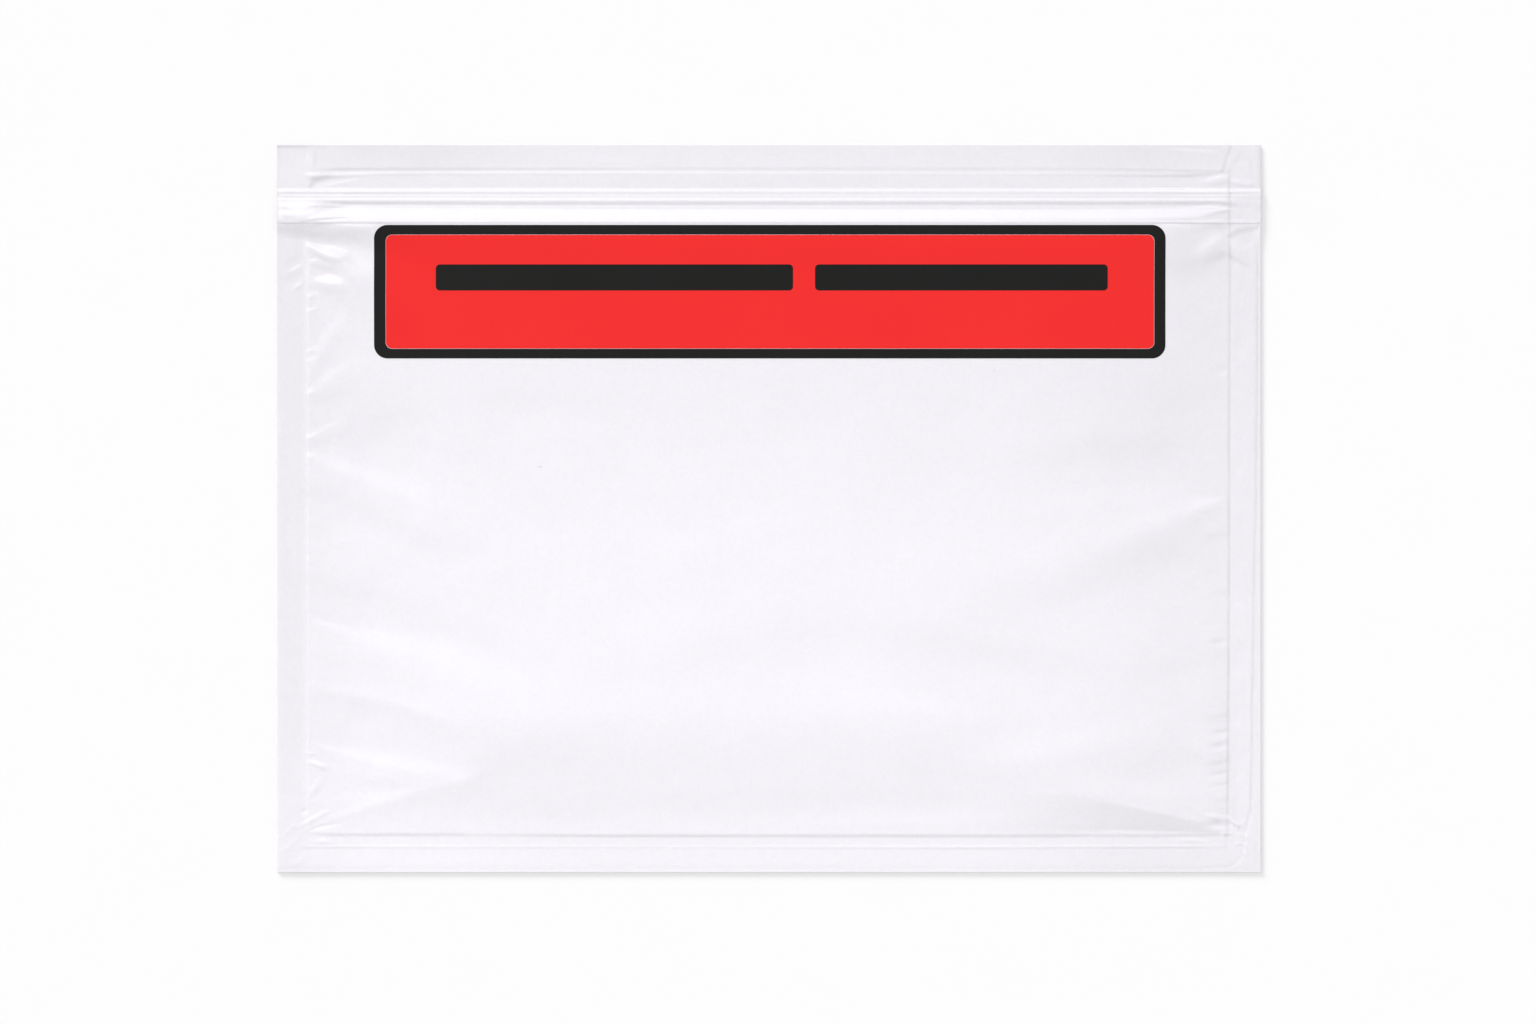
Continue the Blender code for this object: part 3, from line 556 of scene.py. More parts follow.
    s.line([(188, 1258.9, 0), (190, 1258.9, 15), (196, 1258.9, 15), (200, 1258.9, 6), (212, 1258.7, 7), (216, 1258.5, 15), (224, 1258.5, 15)], 1.5, 1.5, seed=74, along_v=True)
    # the lap's bright band tapers into the right seam
    s.stroke((1176, 213, 0, 3, 3), (1194, 212.4, 3, 3, 3), (1208, 211.4, 8, 2.2, 2), (1218, 210.0, 12, 1.8, 1.8), (1229, 209.2, 10, 1.5, 1.6), (1236, 210, 0, 1.2, 1.4))
    s.stroke((1196, 218, 0, 2, 2), (1208, 216.4, -9, 2.4, 2), (1220, 213.6, -13, 2.4, 2), (1228, 211.8, -9, 1.8, 1.8), (1231, 211.4, 0, 1.4, 1.4))
    s.stroke((1232, 207.6, -6, 1.4, 1.6), (1240, 206.6, -3, 1.4, 1.6), (1248, 206, 0, 1.2, 1.4))
    s.crease((1234, 222, 0, 1.4, 1.6), (1243, 214, -3.4, 1.6, 1.8), (1252, 203, 0, 1.4, 1.6))
    s.crease((1240, 218, 0, 1.4, 1.6), (1248, 210, 3.4, 1.6, 1.8), (1256, 202, 0, 1.4, 1.6))
    # quiet unevenness of the margin
    s.T += smooth01((176 - s.V) / 6) * (0.9 * waves2(s.U, s.V, 25, 30.0, 2, 1.0) + 0.7 * waves2(s.U, s.V, 26, 11.0, 2, 1.0))
    return s


def flap_lines(s):
    side_margins(s)
    # weld line of the top margin
    s.line([(300, 170, 0), (318, 170, -4), (332, 169.8, -9), (345, 169.6, -12), (400, 169.3, -9), (600, 169.3, -7), (700, 168.9, -6), (1060, 169.3, -7), (1120, 169.9, -9), (1160, 170.4, -9), (1190, 171.4, -12),
            (1212, 171.8, -14), (1222, 171.8, -11), (1232, 172, -2), (1242, 172, 0)], 1.6, 2.0, beads=0.5, seed=41)
    s.line([(304, 174.5, 0), (309, 174.4, 11), (345, 173.9, 12), (390, 172.8, 10), (600, 172.4, 10), (760, 172.8, 10), (1000, 173.4, 9), (1080, 173.4, 7), (1120, 173.6, 3), (1150, 174, 0)], 1.1, 1.3, seed=42)
    s.line([(370, 175.6, 0), (384, 175.5, -5), (420, 175.4, -4), (620, 175.2, -2), (700, 175.2, 0), (1000, 175.6, -3), (1090, 175.9, -7), (1130, 176.4, -13), (1165, 176.6, -14), (1190, 177.0, -12), (1203, 176, -4),
            (1212, 175, 0)], 1.2, 1.6, beads=0.35, seed=43)
    # faint arcs in the top margin
    for u, v, a in [(560, 158, 2.4), (612, 160, 3.2), (650, 162, 2.4), (820, 156, 2), (930, 159, 2), (1010, 155, 2), (470, 157, 1.6)]:
        s.stroke((u - 12, v + 1.2, 0, 2, 2), (u, v, a, 2.4, 2.4), (u + 12, v - 4.4, 0, 2, 2))
        s.stroke((u - 12, v + 4.6, 0, 2, 2), (u, v + 3.6, -a, 2.4, 2.4), (u + 12, v - 0.6, 0, 2, 2))
    # front film's lip under the flap
    s.line([(277, 190.2, 3), (320, 190.4, 4), (600, 190.6, 4), (1000, 190.7, 4), (1170, 191.0, 5), (1225, 192.0, 6), (1245, 191.4, 4), (1260, 191, 2)], 1.4, 1.6, seed=51)
    s.line([(277, 193.4, -2), (300, 193.6, -9), (345, 193.6, -11), (400, 193.5, -6), (600, 193.4, -2), (1000, 193.6, -2), (1150, 193.6, -5), (1190, 194, -8), (1225, 194.2, -6), (1260, 193, -4)], 1.0, 1.2, beads=0.5, seed=52)
    s.line([(277, 195.8, 3), (300, 195.6, 10), (345, 195.8, 10), (600, 196.0, 8), (1000, 196.0, 7), (1160, 196.0, 6), (1196, 196, 14), (1225, 196, 15), (1248, 195.6, 8), (1260, 195.4, 4)], 1.1, 1.3, seed=53)
    s.line([(277, 197.6, -6), (345, 197.6, -6), (420, 197.6, -2), (600, 197.6, 0), (1160, 197.6, -3), (1225, 197.7, -6), (1260, 197.6, -4)], 0.9, 0.9, seed=54)
    s.line([(277, 199.3, 11), (345, 199.2, 13), (600, 199.5, 14), (1160, 199.6, 17), (1225, 199.6, 15), (1236, 199.6, 7), (1244, 199.6, 0)], 1.8, 2.0, seed=55)
    s.line([(320, 202.4, 0), (332, 202.8, -9), (345, 203.3, -16), (380, 203.5, -14), (600, 203.7, -13), (1000, 203.7, -15), (1110, 203.8, -16), (1160, 203.6, -17), (1200, 203.4, -15), (1212, 203.2, -15), (1225, 204.4, -14),
            (1231, 204.8, -13), (1240, 205, -3), (1260, 205, -3)], 2.1, 2.3, beads=0.22, seed=56, hold=0.15)
    s.line([(330, 206.2, 0), (345, 206.4, 11), (380, 206.8, 9), (600, 207.0, 8), (1000, 207.1, 6), (1160, 207.3, 4), (1190, 207.4, 8), (1212, 207.4, 14), (1225, 208.6, 12), (1231, 208.6, 6), (1240, 209, 0)], 1.1, 1.2, seed=57)
    # the bright band over the lip, and the flap's free edge
    s.line([(318, 214.6, 0), (334, 213.2, 9), (348, 213.0, 15), (380, 213.8, 16), (600, 214.8, 16), (1000, 214.8, 15), (1120, 214.6, 14), (1180, 213.2, 14), (1198, 212.2, 10), (1210, 211.0, 4), (1222, 210, 0)],
           6.3, 6.5, seed=59, wander=0.3, beads=0.05, hold=0.5)
    s.line([(320, 221.6, 4), (345, 221.8, 8), (390, 221.2, 10), (600, 221.3, 13), (1000, 221.3, 12), (1130, 221.3, 12), (1196, 222, 13), (1240, 222.4, 13), (1258, 222.4, 9)], 1.2, 1.4, seed=61)
    s.line([(277, 223, -6), (345, 223.2, -12), (390, 223, -4), (600, 223, 0), (1130, 223, 0), (1170, 223.4, -6), (1228, 223.6, -6), (1232, 223.6, -12), (1260, 223.6, -12)], 1.0, 1.2, seed=62)


def flap_relief(g):
    """Height of the flap's lower face over the back film's welded state, in millimetres."""
    s = flap_shade()
    flap_lines(s)
    H = s.height(260.0)
    # level at the outer edge, and clear of the front film's lip, both eased along u
    def along(row, reach):
        box = np.ones(2 * reach + 1) / (2 * reach + 1)
        return np.convolve(np.pad(row, reach, mode="edge"), box, mode="valid")

    H -= along(H[4:20].mean(axis=0), 24)[None, :]
    low = H[44:].min(axis=0)
    low = np.min([np.roll(low, k) for k in range(-16, 17, 4)], axis=0)
    need = along(np.maximum(0.0, 0.115 - low), 20)
    print("flap needs", round(float(need.min()), 3), "to", round(float(need.max()), 3), "mm over the lip")
    H += 0.030 + (0.45 * smooth01((s.V - 150.0) / 40.0) + 0.55 * smooth01((s.V - 188.6) / 3.8)) * need[None, :]
    g.H += s.at(H, g.U, g.V)
    return g.H
# --- relief end


def spaced(*spans):
    """Grid lines over spans (start, end, pitch), with the last end included."""
    out = []
    for start, end, pitch in spans:
        count = max(1, round((end - start) / pitch))
        out += [start + (end - start) * k / count for k in range(count)]
    out.append(spans[-1][1])
    return np.array(out)


# --- grids start
FRONT_US = spaced((277.0, 303.0, 1.6), (303.0, 312.0, 0.9), (312.0, 350.0, 1.5), (350.0, 420.0, 3.5), (420.0, 490.0, 5.0), (490.0, 1030.0, 13.5),
                  (1030.0, 1190.0, 5.5), (1190.0, 1225.0, 1.5), (1225.0, 1233.0, 0.95), (1233.0, 1248.0, 1.4), (1248.0, 1260.5, 1.05))
FRONT_VS = spaced((LIP_V, 212.0, 5.5), (212.0, 228.0, 1.4), (228.0, 290.0, 2.2), (290.0, 400.0, 5.5), (400.0, 640.0, 4.5), (640.0, 735.0, 3.6), (735.0, 806.0, 2.5), (806.0, 832.0, 1.25),
                  (832.0, 850.0, 0.85), (850.0, 864.0, 2.0), (864.0, 871.5, 1.1))
FRONT_BY_SEAMS = 1.6  # widest row by the seams, where the rows above are split further
FLAP_US = spaced((277.0, 300.0, 1.6), (300.0, 312.0, 1.2), (312.0, 360.0, 1.8), (360.0, 1110.0, 6.0), (1110.0, 1200.0, 2.6), (1200.0, 1236.0, 1.2), (1236.0, 1260.5, 1.5))
FLAP_VS = spaced((145.5, 150.0, 0.9), (150.0, 166.0, 1.1), (166.0, 178.0, 0.75), (178.0, 188.0, 0.9), (188.0, 224.0 - 0.54, 0.60))
# --- grids end


def split_rows(vs, widest, after):
    """All rows, with those past a place split until none is wider than widest, and which of them are in the list given."""
    rows, kept = [], []
    for a, b in zip(vs[:-1], vs[1:]):
        count = max(1, math.ceil((b - a) / widest - 1e-9)) if a >= after else 1
        kept.append(len(rows))
        rows += [a + (b - a) * k / count for k in range(count)]
    kept.append(len(rows))
    return np.array(rows + [vs[-1]]), kept


def film_mesh(name, us, vs, lower, thickness, kept=None, middle=None):
    """A closed film over a grid, with its lower face at the heights given in metres. Its upper face has all the grid's lines,
    or between the two places of middle only the rows in kept. Its lower face has every second line."""
    nu, nv = len(us), len(vs)
    kept = list(range(nv)) if kept is None else kept
    west, east = (nu - 1, nu - 1) if middle is None else [int(np.argmin(np.abs(us - place))) for place in middle]
    used = np.ones((nv, nu), bool)
    used[:, west + 1 : east] = False
    used[kept] = True
    top = np.full((nv, nu), -1)
    top[used] = np.arange(int(used.sum()))
    under_u = sorted({*range(0, nu, 2), nu - 1})
    under_v = sorted({*kept[::2], kept[-1]})
    upper = lower + thickness
    under = lower[np.ix_(under_v, under_u)].copy()
    # nowhere may the plainer lower face come through the upper one
    for _ in range(4):
        at = sampler(us[under_u], vs[under_v], under)(*np.meshgrid(us, vs))
        over = np.maximum(0.0, at + 0.25 * thickness - upper)
        if over.max() <= 0:
            break
        for b, j in enumerate(under_v):
            j0, j1 = under_v[max(b - 1, 0)], under_v[min(b + 1, len(under_v) - 1)]
            band = over[j0 : j1 + 1].max(axis=0)
            if band.max() > 0:
                for a, i in enumerate(under_u):
                    under[b, a] -= band[under_u[max(a - 1, 0)] : under_u[min(a + 1, len(under_u) - 1)] + 1].max()
    base = int(used.sum())
    low = base + np.arange(len(under_v) * len(under_u)).reshape(len(under_v), len(under_u))
    verts = [(float(X(us[i])), float(Y(vs[j])), float(upper[j, i])) for j, i in zip(*np.nonzero(used))]
    verts += [(float(X(us[i])), float(Y(vs[j])), float(under[b, a])) for b, j in enumerate(under_v) for a, i in enumerate(under_u)]
    faces = []
    for j in range(nv - 1):
        for i in [*range(0, west), *range(east, nu - 1)]:
            faces.append((top[j, i], top[j + 1, i], top[j + 1, i + 1], top[j, i + 1]))
    for ja, jb in zip(kept[:-1], kept[1:]):
        for i in range(west, east):
            left = [top[j, i] for j in range(ja, jb + 1)] if i == west else [top[ja, i], top[jb, i]]
            right = [top[j, i + 1] for j in range(jb, ja - 1, -1)] if i + 1 == east else [top[jb, i + 1], top[ja, i + 1]]
            faces.append((*left, *right))
    for b in range(len(under_v) - 1):
        for a in range(len(under_u) - 1):
            faces.append((low[b, a], low[b, a + 1], low[b + 1, a + 1], low[b + 1, a]))
    for a, (ia, ib) in enumerate(zip(under_u[:-1], under_u[1:])):
        faces.append((low[0, a + 1], low[0, a], *[top[0, i] for i in range(ia, ib + 1)]))
        faces.append((low[-1, a], low[-1, a + 1], *[top[-1, i] for i in range(ib, ia - 1, -1)]))
    for b, (ja, jb) in enumerate(zip(under_v[:-1], under_v[1:])):
        faces.append((low[b, 0], low[b + 1, 0], *[top[j, 0] for j in range(jb, ja - 1, -1)]))
        faces.append((low[b + 1, -1], low[b, -1], *[top[j, -1] for j in range(ja, jb + 1)]))
    mesh = bpy.data.meshes.new(name)
    mesh.from_pydata(verts, [], [tuple(int(k) for k in face) for face in faces])
    mesh.validate()
    mesh.update()
    mesh.shade_smooth()
    mesh.set_sharp_from_angle(angle=math.radians(38.0))
    mesh.calc_loop_triangles()
    print(name, "triangles", len(mesh.loop_triangles), "lowest part of the thickness left", float((upper - sampler(us[under_u], vs[under_v], under)(*np.meshgrid(us, vs))).min() / thickness))
    obj = bpy.data.objects.new(name, mesh)
    bpy.context.scene.collection.objects.link(obj)
    return obj


def settle(obj):
    """Applies an object's modifiers, and shades it smooth up to its sharp rim."""
    bpy.context.view_layer.update()
    done = bpy.data.meshes.new_from_object(obj.evaluated_get(bpy.context.evaluated_depsgraph_get()))
    done.name = obj.name
    old = obj.data
    obj.modifiers.clear()
    obj.data = done
    bpy.data.meshes.remove(old)
    done.shade_smooth()
    done.set_sharp_from_angle(angle=math.radians(38.0))


def sampler(us, vs, heights):
    """Height over the plan between the crossings of a grid."""

    def at(u, v):
        u, v = np.asarray(u, float), np.asarray(v, float)
        i = np.clip(np.searchsorted(us, u, side="right") - 1, 0, len(us) - 2)
        j = np.clip(np.searchsorted(vs, v, side="right") - 1, 0, len(vs) - 2)
        f = np.clip((u - us[i]) / (us[i + 1] - us[i]), 0, 1)
        g = np.clip((v - vs[j]) / (vs[j + 1] - vs[j]), 0, 1)
        return (heights[j, i] * (1 - f) + heights[j, i + 1] * f) * (1 - g) + (heights[j + 1, i] * (1 - f) + heights[j + 1, i + 1] * f) * g

    return at


# --------------------------------------------------------------------------
# Materials
# --------------------------------------------------------------------------

# --- tone start
# How white the film looks, painted into its colour: partly because film that stands clear of what is under it is whiter
# than film that is welded down, and partly painted light and shade, with the pocket's broad middle painted lighter and
# its right side and ends painted darker.
# Rows are (place, value), with a smooth curve that passes near them.
MARGIN_LEVEL = 237.6
HAZE_AND_PAINTED_SHADE = 0.090
HAZE_AND_PAINTED_SHADE_ALONG = ((277, 0.0), (296, 0.0), (303, 0.08), (312, 0.38), (350, 0.58), (420, 0.82), (500, 1.0), (700, 1.0), (880, 0.94), (1000, 0.80), (1100, 0.52), (1180, 0.22), (1222, 0.06), (1229, 0.04), (1236, 0.16), (1260, 0.16))
HAZE_AND_PAINTED_SHADE_DOWN = ((146, 0.30), (172, 0.30), (183, 0.12), (196, 0.45), (225, 0.5), (330, 0.58), (400, 0.70), (480, 0.90), (560, 1.0), (640, 1.0), (700, 0.92), (735, 0.70), (770, 0.46), (834, 0.42), (846, 0.45), (872, 0.55))
# Patches of painted light and shade in the film's colour, such as a painted shadow under the flap's left end, painted
# shade above the bright leaf and over the top margin, and painted highlight on the bright wedge at the lower left; the
# last two are small dark flecks of dirt.
PAINTED_SHADE_PATCHES_AND_FLECKS = ((300.0, 209.0, 44.0, 16.0, 0.065), (318.0, 236.0, 36.0, 13.0, -0.045), (286.0, 228.0, 30.0, 9.0, -0.055), (1150.0, 866.0, 190.0, 50.0, -0.036),
           (370.0, 830.0, 190.0, 130.0, 0.030), (385.0, 764.0, 125.0, 34.0, 0.030), (400.0, 158.0, 170.0, 28.0, -0.054), (1150.0, 158.0, 150.0, 26.0, -0.036),
           (1000.0, 650.0, 150.0, 110.0, -0.022), (370.0, 420.0, 110.0, 80.0, -0.020), (420.0, 862.0, 190.0, 26.0, 0.014),
           (540.5, 466.8, 3.4, 1.6, -0.22), (994.0, 371.0, 1.5, 2.0, -0.12))  # middle u, v, reach along u, v, amount
# Painted light: the film's colour is made lighter towards the bottom of the sheet, standing in for light that is
# brighter there.
PAINTED_LIGHT_RISE = 0.062
PAINTED_LIGHT_RISE_DOWN = ((146, 0.0), (300, 0.10), (450, 0.34), (600, 0.58), (740, 0.86), (872, 1.0))


def eased(x, rows):
    rows = np.array(rows, float)
    count = len(rows)
    k = np.clip(np.searchsorted(rows[:, 0], x, side="right") - 1, 0, count - 2)
    t = np.clip((x - rows[k, 0]) / (rows[k + 1, 0] - rows[k, 0]), 0.0, 1.0)
    level = [rows[np.clip(k + step, 0, count - 1), 1] for step in (-1, 0, 1, 2)]
    share = [(1 - t) ** 3 / 6, (3 * t**3 - 6 * t * t + 4) / 6, (-3 * t**3 + 3 * t * t + 3 * t + 1) / 6, t**3 / 6]
    return sum(a * b for a, b in zip(level, share))


# The same haze and painted light and shade as plain numbers over the plan.
def tone(u, v):
    patches = sum(amount * smooth01(1.0 - np.hypot((u - pu) / ru, (v - pv) / rv)) for pu, pv, ru, rv, amount in PAINTED_SHADE_PATCHES_AND_FLECKS)
    return (1.0 + HAZE_AND_PAINTED_SHADE * eased(u, HAZE_AND_PAINTED_SHADE_ALONG) * eased(v, HAZE_AND_PAINTED_SHADE_DOWN)) * (1.0 + PAINTED_LIGHT_RISE * eased(v, PAINTED_LIGHT_RISE_DOWN)) * (1.0 + patches)
# --- tone end


class Nodes:
    """Short ways to add nodes to a material and to join them."""

    def __init__(self, name):
        self.mat = bpy.data.materials.new(name)
        self.mat.use_nodes = True
        self.tree = self.mat.node_tree
        self.bsdf = self.tree.nodes["Principled BSDF"]
        self.coords = self.tree.nodes.new("ShaderNodeTexCoord").outputs["Object"]

    def node(self, kind, **values):
        made = self.tree.nodes.new(kind)
        for key, value in values.items():
            setattr(made, key, value)
        return made

    def join(self, source, target):
        self.tree.links.new(source, target)

    def scaled(self, x, y, z, turn=0.0):
        m = self.node("ShaderNodeMapping")
        m.inputs["Scale"].default_value = (x, y, z)
        m.inputs["Rotation"].default_value = (0.0, 0.0, turn)
        self.join(self.coords, m.inputs["Vector"])
        return m.outputs["Vector"]

    def noise(self, vector, scale, detail=2.0, rough=0.5, distortion=0.0):
        n = self.node("ShaderNodeTexNoise")
        n.inputs["Scale"].default_value = scale
        n.inputs["Detail"].default_value = detail
        n.inputs["Roughness"].default_value = rough
        n.inputs["Distortion"].default_value = distortion
        self.join(vector, n.inputs["Vector"])
        return n.outputs["Fac"]

    def math(self, operation, a, b=None, c=None, clamp=False):
        m = self.node("ShaderNodeMath", operation=operation, use_clamp=clamp)
        for k, value in enumerate((a, b, c)):
            if value is None:
                continue
            if isinstance(value, (int, float)):
                m.inputs[k].default_value = value
            else:
                self.join(value, m.inputs[k])
        return m.outputs[0]

    def span(self, value, a, b, c, d, smooth=True):
        m = self.node("ShaderNodeMapRange", interpolation_type="SMOOTHSTEP" if smooth else "LINEAR")
        for k, x in zip(("From Min", "From Max", "To Min", "To Max"), (a, b, c, d)):
            m.inputs[k].default_value = x
        self.join(value, m.inputs["Value"])
        return m.outputs["Result"]

    def threads(self, vector, scale, width, distortion=0.6):
        """Thin curved hair lines: where a noise crosses its middle value."""
        n = self.noise(vector, scale, 1.0, 0.5, distortion)
        return self.span(self.math("ABSOLUTE", self.math("SUBTRACT", n, 0.5)), 0.0, width, 1.0, 0.0)

    def mix(self, factor, a, b):
        m = self.node("ShaderNodeMix", data_type="RGBA")
        if isinstance(factor, (int, float)):
            m.inputs[0].default_value = factor
        else:
            self.join(factor, m.inputs[0])
        for k, value in ((6, a), (7, b)):
            if isinstance(value, tuple):
                m.inputs[k].default_value = (*value, 1.0)
            else:
                self.join(value, m.inputs[k])
        return m.outputs[2]

    def bump(self, height, distance, strength=1.0, normal=None):
        b = self.node("ShaderNodeBump")
        b.inputs["Strength"].default_value = strength
        b.inputs["Distance"].default_value = distance
        self.join(height, b.inputs["Height"])
        if normal is not None:
            self.join(normal, b.inputs["Normal"])
        return b.outputs["Normal"]

    def set(self, **values):
        for key, value in values.items():
            socket = self.bsdf.inputs[key.replace("_", " ")]
            if isinstance(value, tuple) and len(value) == 3:
                value = (*value, 1.0)
            socket.default_value = value


def scaled_colour(colour, factor):
    return tuple(min(1.0, c * factor) for c in colour)


def mottle(n, lines):
    """0 to 1: the soft crackle that shows in the film and in what is under it. lines is how far its hair lines stand out."""
    fine = n.noise(n.scaled(1.0, 1.0, 0.0), 1150.0, 2.0, 0.6, 0.4)
    light = n.threads(n.scaled(1.0, 1.0, 0.0, 1.1), 560.0, 0.085, 1.1)
    dark = n.threads(n.scaled(1.0, 1.0, 0.0, 2.3), 500.0, 0.085, 1.1)
    return n.math("ADD", n.math("MULTIPLY_ADD", fine, 0.5, 0.25), n.math("MULTIPLY", n.math("SUBTRACT", light, dark), lines), clamp=True)


def film_material(name, colour, alpha, roughness, specular, depth):
    n = Nodes(name)
    tone = mottle(n, 0.40)
    base = n.mix(tone, scaled_colour(colour, 0.984), scaled_colour(colour, 1.016))
    # the haze and the painted light and shade go into the film's colour here
    base = haze_and_painted_light(n, base)
    n.join(base, n.bsdf.inputs["Base Color"])
    n.join(n.span(tone, 0.25, 0.85, roughness * 0.95, roughness * 1.06), n.bsdf.inputs["Roughness"])
    n.join(n.bump(tone, depth), n.bsdf.inputs["Normal"])
    n.set(Alpha=alpha, IOR=1.5, Specular_IOR_Level=specular, Metallic=0.0)
    return n.mat


def ramp(n, value, start, end, rows):
    """A smooth curve of value, which is at start at the first row and at end at the last."""
    first, last = rows[0][0], rows[-1][0]
    r = n.node("ShaderNodeValToRGB")
    n.join(n.span(value, start, end, 0.0, 1.0, smooth=False), r.inputs[0])
    r.color_ramp.interpolation = "B_SPLINE"
    stops = r.color_ramp.elements
    while len(stops) < len(rows):
        stops.new(0.5)
    for stop, (place, level) in zip(stops, rows):
        stop.position = (place - first) / (last - first)
    for stop, (place, level) in zip(stops, rows):
        stop.color = (level, level, level, 1.0)
    return r.outputs[0]


def haze_and_painted_light(n, base):
    """The film's colour with its haze and its painted light and shade over the plan."""
    split = n.node("ShaderNodeSeparateXYZ")
    n.join(n.coords, split.inputs[0])
    along = ramp(n, split.outputs["X"], float(X(HAZE_AND_PAINTED_SHADE_ALONG[0][0])), float(X(HAZE_AND_PAINTED_SHADE_ALONG[-1][0])), HAZE_AND_PAINTED_SHADE_ALONG)
    down = ramp(n, split.outputs["Y"], float(Y(HAZE_AND_PAINTED_SHADE_DOWN[0][0])), float(Y(HAZE_AND_PAINTED_SHADE_DOWN[-1][0])), HAZE_AND_PAINTED_SHADE_DOWN)
    rise = ramp(n, split.outputs["Y"], float(Y(PAINTED_LIGHT_RISE_DOWN[0][0])), float(Y(PAINTED_LIGHT_RISE_DOWN[-1][0])), PAINTED_LIGHT_RISE_DOWN)
    factor = n.math("MULTIPLY", n.math("MULTIPLY_ADD", n.math("MULTIPLY", along, down), HAZE_AND_PAINTED_SHADE, 1.0), n.math("MULTIPLY_ADD", rise, PAINTED_LIGHT_RISE, 1.0))
    for pu, pv, ru, rv, amount in PAINTED_SHADE_PATCHES_AND_FLECKS:
        off_u = n.math("MULTIPLY_ADD", split.outputs["X"], 1.0 / (ru * MX), -float(X(pu)) / (ru * MX))
        off_v = n.math("MULTIPLY_ADD", split.outputs["Y"], 1.0 / (rv * MY), -float(Y(pv)) / (rv * MY))
        reach = n.math("SQRT", n.math("ADD", n.math("MULTIPLY", off_u, off_u), n.math("MULTIPLY", off_v, off_v)))
        factor = n.math("MULTIPLY", factor, n.span(reach, 0.0, 1.0, 1.0 + amount, 1.0))
    m = n.node("ShaderNodeVectorMath", operation="SCALE")
    n.join(base, m.inputs[0])
    n.join(factor, m.inputs["Scale"])
    return m.outputs[0]


def paper_material(name, colour):
    n = Nodes(name)
    tone = mottle(n, 0.30)
    base = n.mix(tone, scaled_colour(colour, 0.990), scaled_colour(colour, 1.006))
    n.join(base, n.bsdf.inputs["Base Color"])
    fibres = n.noise(n.scaled(1.0, 2.6, 1.0, 0.2), 1400.0, 4.0, 0.6)
    n.join(n.span(fibres, 0.3, 0.7, 0.48, 0.56), n.bsdf.inputs["Roughness"])
    n.join(n.bump(n.math("MULTIPLY_ADD", tone, 0.5, fibres), 0.000006), n.bsdf.inputs["Normal"])
    n.set(Specular_IOR_Level=0.4, IOR=1.5)
    return n.mat


def adhesive_material(name, colour, alpha):
    n = Nodes(name)
    tone = mottle(n, 0.45)
    base = n.mix(tone, scaled_colour(colour, 0.988), scaled_colour(colour, 1.006))
    n.join(base, n.bsdf.inputs["Base Color"])
    n.join(n.span(tone, 0.2, 0.9, 0.40, 0.34), n.bsdf.inputs["Roughness"])
    n.join(n.bump(tone, 0.000008), n.bsdf.inputs["Normal"])
    n.set(Alpha=alpha, IOR=1.48)
    return n.mat


def ink_material(name, colour, variation, roughness, specular):
    n = Nodes(name)
    flat = n.scaled(1.0, 1.0, 0.0)
    soft = n.noise(flat, 55.0, 3.0, 0.5)
    grain = n.noise(flat, 1500.0, 2.0, 0.6)
    tone = n.math("MULTIPLY_ADD", soft, 0.55, n.math("MULTIPLY", grain, 0.45))
    base = n.mix(n.span(tone, 0.3, 0.7, 0.0, 1.0), scaled_colour(colour, 1.0 - variation), scaled_colour(colour, 1.0 + variation))
    n.join(base, n.bsdf.inputs["Base Color"])
    n.join(n.span(grain, 0.3, 0.7, roughness * 0.85, roughness * 1.15), n.bsdf.inputs["Roughness"])
    n.join(n.bump(grain, 0.000004), n.bsdf.inputs["Normal"])
    n.set(IOR=1.45, Specular_IOR_Level=specular)
    return n.mat


LAVENDER = (0.8580, 0.8395, 0.8835)
front_mat = film_material("film_front", LAVENDER, 0.75, 0.25, 0.8, 0.000006)
flap_mat = film_material("film_flap", LAVENDER, 0.75, 0.25, 0.8, 0.000006)
back_mat = film_material("film_back", LAVENDER, 0.60, 0.30, 0.5, 0.000006)
liner_mat = paper_material("liner", (0.955, 0.940, 0.972))
coat_mat = adhesive_material("coat", (0.955, 0.940, 0.968), 0.60)
black_mat = ink_material("print_black", (0.0098, 0.0096, 0.0092), 0.10, 0.45, 0.11)
red_mat = ink_material("print_red", (0.765, 0.0217, 0.0210), 0.012, 0.45, 0.13)

for node, mat in (("release_liner", liner_mat), ("adhesive_coat", coat_mat), ("back_film", back_mat)):
    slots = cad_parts[node].data.materials
    slots.clear()
    slots.append(mat)

# --------------------------------------------------------------------------
# The two shaped films
# --------------------------------------------------------------------------

FILM_T = 0.05
Z_BACK_TOP = 1000.0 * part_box("back_film")[1][2]
Z_FRONT = Z_BACK_TOP + 0.02

FRONT_ROWS, FRONT_KEPT = split_rows(FRONT_VS, FRONT_BY_SEAMS, 227.0)
front_plan = Plan(FRONT_US, FRONT_ROWS)
front_low = Z_FRONT + front_relief(front_plan)
flap_plan = Plan(FLAP_US, FLAP_VS)
flap_low = Z_FRONT + flap_relief(flap_plan)

